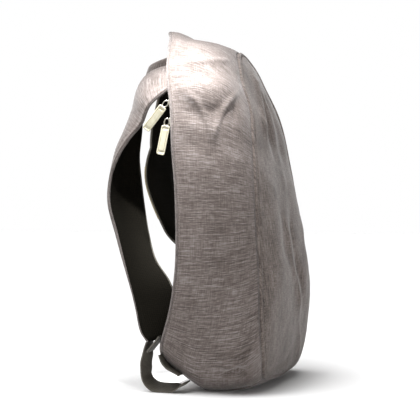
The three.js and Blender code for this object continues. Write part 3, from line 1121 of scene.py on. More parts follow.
@dataclass
class Body(SubAssembly):
    """The bag's shell: band, front, base, back and the cords in its seams."""

    folds: Sequence[Fold] = ()
    # the panels' grids: fine rows beside the seams, and an even pitch elsewhere
    pitch: float = 2.4
    wall: float = 1.6
    seam_gap: float = 0.5
    fine: Sequence[float] = (0.0, 0.5, 1.1, 1.9, 3.0, 4.2, 5.3, 6.4, 7.5, 9.0)
    base_rows: int = 52
    # the two rows of stitches, each on one row of its panel's grid
    hem_stitch_row: int = 4
    seam_stitch_row: int = 7
    stitch_pitch: float = 4.2
    stitch_length: float = 3.0
    thread_radius: float = 0.38
    # how the cloth rises and dips beside the front seam and rolls at the hem, by distance from them
    seam_tuck: Wave = Wave(-1.9, 0.0, 1.1)
    band_dip: Wave = Wave(-0.3, 3.0, 1.0)
    front_ridge: Wave = Wave(1.5, 3.2, 2.4, flatness=4)
    stitch_dip: Wave = Wave(-1.5, 6.6, 1.0)
    hem_roll: Wave = Wave(-0.9, 0.0, 1.0)
    # how the empty top slumps, by the bag's Y over the top and by height at the front's brow
    sunk_behind_hem: Wave = Wave(-4.5, 16.0, 22.0)
    raised_at_seam: Wave = Wave(1.5, -43.0, 16.0)
    sunk_brow: Wave = Wave(-5.0, 404.0, 26.0)
    top_starts: float = 405.0
    top_fade: float = 30.0
    brow_starts: float = -70.0
    brow_fade: float = 14.0
    # how far from a sewn edge the cloth gets free to move, and how it crumples there
    seam_hold: float = 14.0
    hem_hold: float = 10.0
    hem_slump: float = 26.0
    band_crumples: Sequence[Crumple] = (Crumple(46.0, 1.5), Crumple(15.0, 0.45, 3.0))
    front_crumples: Sequence[Crumple] = (Crumple(52.0, 1.8, 7.0), Crumple(16.0, 0.4, 11.0))
    # the back panel: a flat rim, then padding with an upright channel and two cross channels
    rim_insets: Sequence[float] = (4.7, 6.0, 8.0, 11.0, 15.0, 20.0, 26.0)
    back_lines: int = 420
    back_rows: int = 34
    back_reach: float = 110.0
    back_proud: float = -0.6
    pad_height: float = 3.0
    spine_channel: Wave = Wave(1.0, 0.0, 9.0)
    cross_channel: Wave = Wave(1.0, 0.0, 6.0)
    cross_heights: Sequence[float] = (170.0, 300.0)
    # the piping behind the back edge and the cord in the front seam
    cord_lines: int = 700
    piping_radius: float = 1.6
    piping_inset: float = 0.9
    piping_proud: float = 1.1
    cord_radius: float = 0.8
    cord_depth: float = 1.5

    def stations(self, start: float, end: float) -> Array:
        """Stations at about the pitch between two others."""
        count = int(round(abs(end - start) * self.shape.half_run / self.pitch))
        return np.linspace(start, end, count + 1)

    def laid_out(
        self,
        stations: Array,
        places: Callable[[float, float], Array],
        is_ring: bool = False,
    ) -> tuple[Array, Array, Array]:
        """A grid on the bag's skin.

        Args:
            stations: where on the outline.
            places: from a section's run to the seam and its whole run, the distances of its rows.
            is_ring: whether the last section joins the first.

        Returns:
            Points, their outward normals and each one's distance from the back edge.
        """
        turns, runs = self.shape.sections(stations, places)
        points = self.shape.skin(np.repeat(stations[:, None], turns.shape[1], 1), turns)
        return points, self.outward(points, grid_normals(points, is_ring=is_ring)), runs

    def seam_relief(self, from_seam: Array, is_front: bool) -> Array:
        """How the cloth rises and dips beside the seam.

        Args:
            from_seam: distance from the seam.
            is_front: whether it is the front panel's side, which lies over the seam's allowance.

        Returns:
            Distances out of the surface.
        """
        beside = (self.front_ridge, self.stitch_dip) if is_front else (self.band_dip,)
        return self.seam_tuck.over(from_seam) + sum(wave.over(from_seam) for wave in beside)

    def slumped(self, points: Array, normals: Array, free: Array) -> Array:
        """The empty top lets its cloth sink behind the hem and stand up at the seam.

        Args:
            points: the surface's points.
            normals: their unit normals.
            free: from 0 at the hem to 1.

        Returns:
            The moved points.
        """
        y, z = points[..., 1], points[..., 2]
        is_level = ease((normals[..., 2] - 0.45) / 0.4)
        on_top = ease((z - self.top_starts) / self.top_fade) * is_level
        top = (self.sunk_behind_hem.over(y) + self.raised_at_seam.over(y)) * on_top
        brow = self.sunk_brow.over(z) * ease((self.brow_starts - y) / self.brow_fade)
        sunk = np.where(y < self.brow_starts, brow, top)
        return points + normals * (sunk * free)[..., None]

    def stitches(self, name: str, line: Array, normals: Array, is_ring: bool) -> None:
        """A row of stitches lying on the cloth.

        Args:
            name: the piece's name.
            line: points along the row.
            normals: the cloth's unit normals there.
            is_ring: whether the row closes on itself.
        """
        if is_ring:
            line = np.concatenate([line, line[:1]])
            normals = np.concatenate([normals, normals[:1]])
        run = run_of(line)
        shape = ((-1.0, 0.35), (-0.7, 0.9), (0.0, 1.0), (0.7, 0.9), (1.0, 0.35))
        sides = 6
        vertices, faces, cloth = [], [], []
        for place in np.arange(self.stitch_pitch, run[-1] - self.stitch_pitch, self.stitch_pitch):
            middle = np.array([np.interp(place, run, line[:, k]) for k in range(3)])
            ahead = np.array([np.interp(place + 1, run, line[:, k]) for k in range(3)])
            out = unit(np.array([np.interp(place, run, normals[:, k]) for k in range(3)]))
            along = unit(ahead - middle)
            across = unit(np.cross(out, along))
            faces += ring_faces(len(shape), sides, start=len(vertices))
            for reach, size in shape:
                centre = middle + along * reach * self.stitch_length / 2 + out * (0.15 - 0.3 * reach**2)
                for angle in circle(sides):
                    way = math.cos(angle) * out + math.sin(angle) * across
                    vertices.append(centre + self.thread_radius * size * way)
                    cloth.append((place + reach, angle))
        row = make_mesh(name, np.array(vertices), faces, self.finishes.thread, np.array(cloth))
        self.hand_over(row, "piping")

    def sew_up(
        self,
        name: str,
        node: str,
        slot: str,
        points: Array,
        cloth: Array,
        finish: bpy.types.Material,
        is_ring: bool = False,
    ) -> bpy.types.Object:
        """Make a panel of the shell.

        Args:
            name: the piece's name.
            node: the CAD node that it replaces.
            slot: not used.
            points: its grid, whose last row is the bag's spine where it is a ring.
            cloth: where each point lies on the flat cloth.
            finish: its material.
            is_ring: whether its last line joins its first.

        Returns:
            The piece.
        """
        faces = grid_faces(*points.shape[:2], is_ring=is_ring)
        panel = make_mesh(name, points.reshape(-1, 3), faces, finish, cloth.reshape(-1, 2))
        if is_ring:
            weld = panel.modifiers.new("spine", "WELD")
            weld.merge_threshold = 0.02 * MM
        thicken(panel, self.wall, 1.0 if self.faces_in(panel) else -1.0)
        return self.hand_over(panel, slot, [node])

    def band(self) -> None:
        """The cloth over both sides and the top."""
        reach = 1 - self.shape.base_reach
        stations = self.stations(-reach, reach)
        _, widths = self.shape.sections(np.array([-0.5, 0.5]), lambda seam, whole: np.array([seam]))
        width = float(widths.max())
        shares = near_rows(width, self.pitch, self.fine) / width

        def places(seam: float, whole: float) -> Array:
            """Rows from the back edge to just short of the seam."""
            return shares * (seam - self.seam_gap)

        points, normals, runs = self.laid_out(stations, places)
        from_seam = runs[:, -1:] - runs
        free = ease(from_seam / self.seam_hold) * ease(runs / self.hem_hold)
        points = self.slumped(points, normals, ease(runs / self.hem_slump))
        for waves in self.band_crumples:
            points = waves.moved(points, normals, free)
        points = add_folds(points, normals, self.folds, free)
        relief = self.seam_relief(from_seam, is_front=False) + self.hem_roll.over(runs)
        points = points + normals * relief[..., None]
        row = self.hem_stitch_row
        self.stitches("hem_stitches", points[:, row], self.outward(points, normals)[:, row], False)
        along = run_of(points)
        middle = along[:, along.shape[1] // 3]
        cloth = np.stack([runs, np.repeat(middle[:, None], runs.shape[1], 1)], axis=-1)
        self.sew_up("side_band_cloth", "side_band", "marl", points, cloth, self.finishes.marl)

    @staticmethod
    def outward(points: Array, normals: Array) -> Array:
        """Normals turned away from the bag's middle."""
        way = points - np.array(MIDDLE)
        return normals * np.sign(np.sum(way * normals, axis=-1, keepdims=True))

    @staticmethod
    def faces_in(panel: bpy.types.Object) -> bool:
        """Whether a panel's faces look towards the bag's middle."""
        middle = Vector(MIDDLE) * MM
        return sum((p.center - middle).dot(p.normal) * p.area for p in panel.data.polygons) < 0

    def base(self) -> None:
        """The cloth under the bag."""
        reach = 1 - self.shape.base_reach + self.seam_gap / self.shape.half_run
        stations = np.concatenate([self.stations(reach, 1.0), self.stations(-1.0, -reach)[1:]])

        def places(seam: float, whole: float) -> Array:
            """Rows from the back edge to just short of the seam."""
            return np.linspace(0, seam - self.seam_gap, self.base_rows)

        points, normals, runs = self.laid_out(stations, places)
        relief = self.seam_relief(runs[:, -1:] - runs, is_front=False) + self.hem_roll.over(runs)
        points = points + normals * np.minimum(relief, 0)[..., None]
        cloth = np.stack([points[..., 0], runs], axis=-1)
        self.sew_up("base_cloth", "base_panel", "marl", points, cloth, self.finishes.marl)

    def front(self) -> None:
        """The outer front, sewn in all round by one seam."""
        stations = self.stations(-1, 1)[:-1]
        _, runs = self.shape.sections(np.array([-0.5]), lambda seam, whole: np.array([seam, whole]))
        width = float(runs[0, 1] - runs[0, 0])
        edge = np.array(self.fine)
        rest = np.linspace(edge[-1], width, int(round((width - edge[-1]) / self.pitch)))[1:]
        shares = np.concatenate([edge, rest]) / width

        def places(seam: float, whole: float) -> Array:
            """Rows from the seam to the spine."""
            return seam + self.seam_gap + shares * (whole - seam - self.seam_gap)

        points, normals, runs = self.laid_out(stations, places, is_ring=True)
        normals[:, -1] = np.array([0.0, -1.0, 0.0])
        from_seam = runs - runs[:, :1]
        free = ease(from_seam / self.seam_hold)
        points = self.slumped(points, normals, np.ones_like(runs))
        for waves in self.front_crumples:
            points = waves.moved(points, normals, free)
        points = add_folds(points, normals, self.folds, free)
        points = points + normals * self.seam_relief(from_seam, is_front=True)[..., None]
        points[:, -1, 0] = 0.0
        row = self.seam_stitch_row
        self.stitches("front_seam_stitches", points[:, row], self.outward(points, normals)[:, row], True)
        cloth = self.unwrapped(points, normals)
        # the front's marl is darker than the band's: painted shade
        finish = self.finishes.front
        self.sew_up("front_panel_cloth", "front_panel", "marl", points, cloth, finish, is_ring=True)

    @staticmethod
    def unwrapped(points: Array, normals: Array) -> Array:
        """Where each point lies on a flat cloth with an upright weft, measured out from the spine.

        Args:
            points: the grid, whose last row is the spine.
            normals: its unit normals.

        Returns:
            Two numbers for each point, upright first.
        """
        steps = np.diff(points[:, ::-1], axis=1)
        middle = (normals[:, ::-1][:, 1:] + normals[:, ::-1][:, :-1]) / 2
        up = np.cumsum(steps[..., 2] + steps[..., 1] * middle[..., 2], axis=1)
        across = np.cumsum(steps[..., 0] + steps[..., 1] * middle[..., 0], axis=1)
        start = points[:, -1:]
        up = np.concatenate([start[..., 2], start[..., 2] + up], axis=1)
        across = np.concatenate([start[..., 0], start[..., 0] + across], axis=1)
        return np.stack([up, across], axis=-1)[:, ::-1]

    def back(self) -> None:
        """The padded mesh panel against the wearer, with an upright channel and two cross channels."""
        stations = np.linspace(-1, 1, self.back_lines)[:-1]
        insets = np.array(self.rim_insets)
        inset = insets[-1]
        shares = np.linspace(1, 0, self.back_rows)[1:]
        lines = []
        for station in stations:
            rim = self.shape.back_face(np.full(len(insets), station), insets, self.back_proud)
            middle = self.shape.back_face(np.full(len(shares), station), inset, self.back_proud, out=shares)
            lines.append(np.concatenate([rim, middle]))
        points = np.array(lines)
        x, z = points[..., 0], points[..., 2]
        from_edge = np.concatenate([insets, inset + (1 - shares) * self.back_reach])[None, :]
        channel = self.spine_channel.over(x)
        for height in self.cross_heights:
            dip = self.cross_channel.over(z - height - 10 * np.cos(x / 60))
            channel = np.maximum(channel, dip * ease((from_edge - 20) / 10))
        points[..., 1] += self.pad_height * ease((from_edge - 24) / 12) * (1 - channel)
        points[:, -1, 0] = 0.0
        cloth, finish = points[..., [0, 2]], self.finishes.mesh
        back = self.sew_up("back_panel_mesh", "back_panel", "mesh", points, cloth, finish, is_ring=True)

    def cords(self) -> None:
        """The piping behind the back edge and the thin cord in the front seam."""
        stations = np.linspace(-1, 1, self.cord_lines)[:-1]
        edge = self.shape.skin(stations, np.zeros(len(stations)))
        inward = self.shape.back_face(stations, 2.0, 0.0) - self.shape.back_face(stations, 0.0, 0.0)
        edge += unit(inward * np.array([1.0, 0.0, 1.0])) * self.piping_inset
        edge[:, 1] += self.piping_proud
        piping = tube("back_edge_piping", edge, self.piping_radius, self.finishes.binding, sides=12)
        self.hand_over(piping, "piping", ["back_piping"])
        skin, turns = self.shape.skin, self.shape.seam_turn(stations)
        across = skin(stations, turns + SLOPE_STEP) - skin(stations, turns - SLOPE_STEP)
        along = skin(stations + SLOPE_STEP, turns) - skin(stations - SLOPE_STEP, turns)
        out = unit(np.cross(across, along))
        sunk = skin(stations, turns) - out * self.cord_depth
        cord = tube("front_seam_cord", sunk, self.cord_radius, self.finishes.binding, sides=8, up=out)
        self.hand_over(cord, "piping", ["front_piping"])

    def build(self) -> None:
        """Make every piece of the shell."""
        self.band()
        self.base()
        self.front()
        self.back()
        self.cords()


@dataclass
class Zip(SubAssembly):
    """The coil zip on the back face, with its two sliders and bar pullers."""

    start: float = 0.33
    rise: float = 1.2
    tape_inset: float = 4.0
    tape_width: float = 6.0
    tape_thick: float = 0.5
    coil_width: float = 4.4
    coil_height: float = 1.4
    filament: float = 0.55
    gap: float = 0.3
    pitch: float = 2.5
    loop_length: float = 9.0
    loop_width: float = 6.0
    wire: float = 0.8
    tape_rows: Sequence[float] = (0.0, 0.5, 2.0, 4.0, 5.5)  # and the tape's own width
    tape_lift: Sequence[float] = (0.1, 0.55, 0.7, 0.7, 0.55, 0.1)
    slider: tuple[float, float, float] = (9.0, 3.0, 12.0)
    slider_stand: float = 2.2
    slider_corner: float = 3.0
    slider_taper: float = 0.72
    slider_chamfer: float = 0.6
    bar: tuple[float, float, float] = (10.5, 36.0, 3.4)
    bar_corner: float = 2.4
    bar_chamfer: float = 0.5
    hook: float = 1.4  # how far the bar's top reaches round the wire
    groove: tuple[float, float, float] = (7.9, 34.4, 1.5)  # its width, its length and its place down the bar
    groove_corner: float = 1.6
    soft_edge: float = 0.25
    turn: float = -1.25

    @property
    def coil_inset(self) -> float:
        """Distance of the coil's middle from the bag's edge."""
        return self.tape_inset + self.tape_width + self.gap + self.coil_width / 2

    def tape(self, name: str, inset: float) -> None:
        """One woven tape.

        Args:
            name: the piece's name and the CAD node's.
            inset: distance of its outer edge from the bag's edge.
        """
        reach = 1 - self.start
        stations = np.linspace(-reach, reach, 500)
        across = np.array([*self.tape_rows, self.tape_width])
        grid = self.shape.back_face(
            np.repeat(stations[:, None], len(across), 1),
            inset + across[None, :],
            self.rise + np.array(self.tape_lift)[None, :],
        )
        run = run_of(grid)[:, 2]
        cloth = np.stack(
            [np.tile(inset + across, (len(stations), 1)), np.repeat(run[:, None], len(across), 1)],
            axis=-1,
        )
        piece = make_mesh(
            f"{name}_woven",
            grid.reshape(-1, 3),
            grid_faces(*grid.shape[:2]),
            self.finishes.zip_tape,
            cloth.reshape(-1, 2),
        )
        thicken(piece, self.tape_thick, 0.0)
        self.hand_over(piece, "coil", [name])

    def coil(self) -> None:
        """The coil's turns, each a bent loop across the zip."""
        reach = 1 - self.start
        dense = np.linspace(-reach, reach, 3000)
        run = run_of(self.shape.back_face(dense, self.coil_inset, self.rise))
        stations = np.interp(np.arange(self.pitch, run[-1] - self.pitch, self.pitch), run, dense)
        arc = np.linspace(0, math.pi, 7)
        across = self.coil_inset - self.coil_width / 2 * np.cos(arc)
        lift = self.rise + 0.35 + self.coil_height * np.sin(arc)
        skew = self.pitch * 0.35 / run[-1] * 2 * reach
        sides = 6
        vertices, faces = [], []
        for station in stations:
            spots = self.shape.back_face(station + skew * np.cos(arc), across, lift)
            pair = self.shape.back_face(station + np.array([0.0, 0.001]), self.coil_inset, self.rise)
            side = unit(pair[1] - pair[0])
            faces += ring_faces(len(arc), sides, start=len(vertices))
            for spot, way in zip(spots, unit(np.cross(unit(np.gradient(spots, axis=0)), side))):
                for angle in circle(sides):
                    section = math.cos(angle) * way + 1.25 * math.sin(angle) * side
                    vertices.append(spot + self.filament * section)
        cloth = np.zeros((len(vertices), 2))
        turns = make_mesh("zip_coil_turns", np.array(vertices), faces, self.finishes.zip_nylon, cloth)
        self.hand_over(turns, "coil", ["zip_coil"])

    def block(
        self,
        name: str,
        outline: Array,
        thickness: float,
        place: Callable[[Array], Array],
        finish: bpy.types.Material,
        chamfer: float,
        sunk: Optional[Array] = None,
        depth: float = 0.7,
    ) -> bpy.types.Object:
        """A flat plate with a rounded outline, chamfered edges and a stepped face.

        Args:
            name: the piece's name.
            outline: its corners in its own plane.
            thickness: across the plane.
            place: carries points of its own frame to the bag's.
            finish: its material.
            chamfer: how far its edges are cut back.
            sunk: an inner outline that bounds a groove on both faces.
            depth: the groove's depth.

        Returns:
            The piece.
        """
        middle = outline.mean(axis=0)

        def shrunk(by: float) -> Array:
            """The outline drawn in towards its middle by a distance."""
            way = outline - middle
            size = np.abs(way).max(axis=0)
            return middle + way * (1 - by / size)

        half = thickness / 2
        inner = shrunk(chamfer)
        rings = [(inner, half), (outline, half - chamfer), (outline, chamfer - half), (inner, -half)]
        if sunk is not None:
            steps = [
                (middle + (sunk - middle) * share, half - down)
                for share, down in ((1.0, 0.0), (0.94, depth), (0.80, depth), (0.74, 0.0))
            ]
            rings = steps[::-1] + rings + [(ring, -z) for ring, z in steps]
        count = len(outline)
        vertices = np.concatenate([np.column_stack([ring, np.full(count, z)]) for ring, z in rings])
        faces = ring_faces(len(rings), count)
        obj = make_mesh(name, place(vertices), faces, finish, is_smooth=False)
        soft = obj.modifiers.new("soft_edges", "BEVEL")
        soft.width = self.soft_edge * MM
        soft.segments = 2
        soft.limit_method = "ANGLE"
        return obj

    @staticmethod
    def rounded(width: float, length: float, corner: float, top: float) -> Array:
        """A rounded rectangle that hangs down from its top edge."""
        spots = []
        for x, y, start in (
            (width / 2 - corner, top - corner, 0.0),
            (-width / 2 + corner, top - corner, 90.0),
            (-width / 2 + corner, top - length + corner, 180.0),
            (width / 2 - corner, top - length + corner, 270.0),
        ):
            for step in range(7):
                angle = math.radians(start + 15 * step)
                spots.append((x + corner * math.cos(angle), y + corner * math.sin(angle)))
        return np.array(spots)

    def pull(self, name: str, up: float, swing: float) -> None:
        """A slider with its wire loop and its bar.

        Args:
            name: the CAD nodes' first word.
            up: the share of the height at which it sits.
            swing: how far its bar stands off.
        """
        dense = np.linspace(-1, 0, 4000)
        _, _, z = self.shape.outline(dense)
        station = dense[int(np.argmax(z >= self.shape.height * up))]
        seat = self.shape.back_face(station, self.coil_inset, self.rise + self.slider_stand + 2 * self.gap)
        width, thick, length = self.slider
        slope = self.shape.back_at(seat[2] + length) - self.shape.back_at(seat[2] - length)
        lean = math.atan(float(slope) / (2 * length))

        def on_back(points: Array) -> Array:
            """The slider's own plane, stood up against the back face.

            Args:
                points: in its own frame.

            Returns:
                Points in the bag's frame.
            """
            x, y, z = points[:, 0], points[:, 2] + thick / 2, points[:, 1]
            turned_y = y * math.cos(lean) + z * math.sin(lean)
            turned_z = -y * math.sin(lean) + z * math.cos(lean)
            return seat + np.column_stack([x, turned_y, turned_z])

        shield = self.rounded(width, length, self.slider_corner, length / 2)
        shield[:, 0] *= np.where(shield[:, 1] < 0, self.slider_taper, 1.0)
        steel, enamel = self.finishes.steel, self.finishes.enamel
        body = self.block(f"{name}_slider_body", shield, thick, on_back, steel, self.slider_chamfer)
        self.hand_over(body, "steel", [f"{name}_slider"])
        reach = math.hypot(
            self.loop_length / 2 * math.sin(swing),
            self.loop_width / 2 * math.sin(self.turn) * math.cos(swing),
        )
        hinge = seat + np.array([0, thick + reach + self.wire + 3 * self.gap, 0])
        tilt = math.pi / 2 + swing
        about_x = np.array(Matrix.Rotation(tilt, 3, "X"))
        about_y = np.array(Matrix.Rotation(self.turn, 3, "Y"))
        turn = about_x @ about_y

        def hanging(points: Array) -> Array:
            """The puller's own frame at its hinge."""
            return hinge + points @ turn.T

        angles = circle(48)
        ring = np.column_stack(
            [
                self.loop_width / 2 * np.cos(angles),
                self.loop_length / 2 * np.sin(angles),
                np.zeros_like(angles),
            ]
        )
        facing = np.tile(turn @ np.array([0, 0, 1.0]), (len(angles), 1))
        wire = tube(f"{name}_wire_loop", hanging(ring), self.wire, steel, up=facing)
        self.hand_over(wire, "steel", [f"{name}_wire"])
        width, length, thick = self.bar
        top = self.hook - self.loop_length / 2 - self.wire - self.gap
        plate = self.rounded(width, length + self.hook, self.bar_corner, top)
        groove_width, groove_length, down = self.groove
        face = self.rounded(groove_width, groove_length, self.groove_corner, top - down)
        bar = self.block(f"{name}_bar_plate", plate, thick, hanging, enamel, self.bar_chamfer, sunk=face)
        self.hand_over(bar, "puller", [f"{name}_bar"])

    def build(self) -> None:
        """Make the tapes, the coil and both pulls."""
        self.tape("zip_tape_outer", self.tape_inset)
        self.tape("zip_tape_inner", self.tape_inset + self.tape_width + 2 * self.gap + self.coil_width)
        self.coil()
        self.pull("upper_pull", up=0.780, swing=0.70)
        self.pull("lower_pull", up=0.727, swing=0.21)


@dataclass
class StrapRow:
    """One row of the strap's table, in shares of the bag's sizes, as the CAD part has it."""

    out_x: float
    out_y: float
    out_z: float
    in_x: float
    in_y: float
    in_z: float
    seat: float
    arch: float
    right: float


STRAP_ROWS = (
    StrapRow(0.345, 0.000, 0.828, 0.140, 0.000, 0.905, 0.43, 0.01, 0.00),
    StrapRow(0.372, 0.250, 0.777, 0.152, 0.386, 0.872, 1.33, 0.07, 0.05),
    StrapRow(0.358, 0.400, 0.724, 0.162, 0.540, 0.785, 1.33, 0.10, 0.12),
    StrapRow(0.350, 0.560, 0.685, 0.166, 0.600, 0.700, 1.33, 0.12, 0.14),
    StrapRow(0.347, 0.715, 0.635, 0.167, 0.640, 0.638, 1.33, 0.13, 0.08),
    StrapRow(0.350, 0.825, 0.575, 0.170, 0.640, 0.575, 1.33, 0.11, 0.00),
    StrapRow(0.380, 0.825, 0.505, 0.195, 0.596, 0.505, 1.33, 0.08, -0.03),
    StrapRow(0.410, 0.710, 0.420, 0.245, 0.499, 0.420, 1.33, 0.05, 0.00),
    StrapRow(0.436, 0.585, 0.340, 0.330, 0.330, 0.350, 1.33, 0.03, 0.05),
    StrapRow(0.450, 0.480, 0.275, 0.395, 0.100, 0.290, 0.90, 0.02, 0.03),
    StrapRow(0.455, 0.400, 0.215, 0.400, 0.000, 0.225, 0.25, 0.02, 0.00),
    StrapRow(0.460, 0.290, 0.165, 0.405, 0.000, 0.170, 0.25, 0.02, 0.00),
    StrapRow(0.450, 0.170, 0.135, 0.410, 0.000, 0.140, 0.37, 0.01, 0.00),
)


@dataclass
class ShoulderStrap(SubAssembly):
    """One padded strap: marled cover outside, dark mesh inside, bound along both edges."""

    name: str
    flank: Flank
    lining: float = 6.0
    gap: float = 0.3
    stations: int = 220
    columns: int = 40
    cover_sheet: float = 1.4
    lining_sheet: float = 1.6
    cover_lift: float = 1.0
    cover_puff: float = 0.9
    lining_drop: float = 1.2
    lining_puff: float = 4.2
    edge_dip: Wave = Wave(0.5, 0.84, 0.035)
    binding_radius: float = 1.7
    binding_drop: float = 0.6
    tan_radius: float = 1.9
    tan_lift: float = 0.2
    tan_from: float = 215.0
    tan_to: float = 290.0
    far_inner_drop: float = 6.0
    far_outer_drop: float = 27.0
    end_fade: float = 0.04

    def __post_init__(self) -> None:
        """Lay out the curves through the strap's table."""
        last = len(STRAP_ROWS) - 1
        self.curves = {
            key: smooth_curve([(i / last, getattr(row, key)) for i, row in enumerate(STRAP_ROWS)])
            for key in STRAP_ROWS[0].__dict__
        }

    def back_over(self, height: Array) -> Array:
        """How far back the body reaches, where the heel has lifted it.

        Args:
            height: heights above the floor.

        Returns:
            The back face's Y there.
        """
        z = np.array(height, float)
        for _ in range(12):
            lift = self.shape.lift_at(self.shape.back_at(z))
            lowered = np.clip((height - lift) / (1 - lift / self.shape.heel_fade), 0, self.shape.heel_fade)
            z = np.where(height < self.shape.heel_fade, lowered, height)
        return self.shape.back_at(z)

    def edges(self, share: Array) -> tuple[Array, Array, Array]:
        """The strap's two edges and its arch.

        Args:
            share: shares of its length.

        Returns:
            Points of the outer edge, points of the inner edge and the arch's height.
        """
        value = {key: curve(share) for key, curve in self.curves.items()}
        shift = value["right"] if self.flank is Flank.RIGHT else 0.0
        lines = []
        for edge in ("out", "in"):
            z = self.shape.height * value[f"{edge}_z"]
            seat = self.gap + self.lining * value["seat"]
            stand = self.shape.depth * np.maximum(0, value[f"{edge}_y"] + shift)
            x = self.flank.value * self.shape.width * value[f"{edge}_x"]
            lines.append(np.stack([x, self.back_over(z) + seat + stand, z], axis=-1))
        arch = self.shape.depth * value["arch"]
        if self.flank is Flank.RIGHT:
            # in the photograph the far strap shows its dark inner face, so its inner edge stands out
            turned = between(share, 0.10, 0.12, 0.72, 0.14)
            outer, inner = lines[0][:, 1], lines[1][:, 1]
            crest = np.maximum(outer, inner) + 0.8 * arch + 4 * ease((share - 0.3) / 0.15)
            inner += turned * (crest - self.far_inner_drop - inner)
            outer += turned * (crest - self.far_outer_drop - outer)
            arch = arch * (1 - 0.85 * turned)
        return lines[0], lines[1], arch

    def surface(self, across: Array, rise: Array) -> Array:
        """A grid of points over the strap.

        Args:
            across: from -1 at the inner edge to 1 at the outer.
            rise: distance out of the strap's middle layer, for each point across.

        Returns:
            Stations by columns by three.
        """
        share = np.linspace(0, 1, self.stations)
        outer, inner, arch = self.edges(share)
        middle = (outer + inner) / 2
        tangent = unit(np.gradient(middle, axis=0))
        lateral = outer - inner
        half = np.linalg.norm(lateral, axis=-1, keepdims=True) / 2
        lateral = lateral / (2 * half)
        away = unit(np.cross(lateral, tangent) * self.flank.value)
        slope = 2 * arch[:, None] * across[None, :] / half
        normal = unit(away[:, None, :] + lateral[:, None, :] * slope[..., None])
        bowed = arch[:, None] * (1 - across[None, :] ** 2)
        return (
            middle[:, None, :]
            + lateral[:, None, :] * (half * across[None, :])[..., None]
            + away[:, None, :] * bowed[..., None]
            + normal * rise[..., None]
        )

    def edge_line(self, place: float, rise: float) -> Array:
        """A line along the strap at a place across it, at a distance out of its middle layer."""
        return self.surface(np.array([place]), np.full((self.stations, 1), rise))[:, 0]

    def layer(
        self,
        label: str,
        rise: Array,
        finish: bpy.types.Material,
        thickness: float,
    ) -> bpy.types.Object:
        """A sheet of the strap with its thickness.

        Args:
            label: the piece's name after the strap's.
            rise: the layer's place, stations by columns.
            finish: its material.
            thickness: in millimetres.

        Returns:
            The piece.
        """
        across = np.linspace(-1, 1, self.columns)
        points = self.surface(across, rise)
        along = run_of(points)[:, self.columns // 2]
        over = run_of(points, axis=1)
        cloth = np.stack([over, np.repeat(along[:, None], self.columns, 1)], axis=-1)
        obj = make_mesh(
            f"{self.name}_{label}",
            points.reshape(-1, 3),
            grid_faces(self.stations, self.columns),
            finish,
            cloth.reshape(-1, 2),
        )
        thicken(obj, thickness, 0.0)
        return obj

    def build(self) -> None:
        """Make the cover, the lining, the edge bindings and the tan tape."""
        across = np.linspace(-1, 1, self.columns)
        share = np.linspace(0, 1, self.stations)
        ends = between(share, 0.0, self.end_fade, 1.0, self.end_fade)
        crown = (1 - np.abs(across) ** 4)[None, :] * ends[:, None]
        dip = self.edge_dip.over(np.abs(across))[None, :]
        raised = self.gap / 2 + self.cover_lift + self.cover_puff * crown - dip
        cover = self.layer("strap_cover_cloth", raised, self.finishes.marl, self.cover_sheet)
        self.hand_over(cover, "marl", [f"{self.name}_strap_cover"])
        puffed = dip - self.gap / 2 - self.lining_drop - self.lining_puff * crown
        lining = self.layer("strap_lining_mesh", puffed, self.finishes.mesh, self.lining_sheet)
        self.hand_over(lining, "mesh", [f"{self.name}_strap_lining"])
        for label, place, finish in (
            ("outer_binding", 1.0, self.finishes.binding),
            ("inner_binding", -1.0, self.finishes.webbing),
        ):
            line = self.edge_line(place, -self.binding_drop)
            binding = tube(f"{self.name}_strap_{label}", line, self.binding_radius, finish, is_ring=False)
            self.hand_over(binding, "piping")
        inner = self.edge_line(-1.0, self.tan_lift)
        taped = inner[(inner[:, 2] > self.tan_from) & (inner[:, 2] < self.tan_to)]
        finish = self.finishes.tan_tape
        tape = tube(f"{self.name}_strap_edge_tape", taped, self.tan_radius, finish, is_ring=False)
        self.hand_over(tape, "webbing")


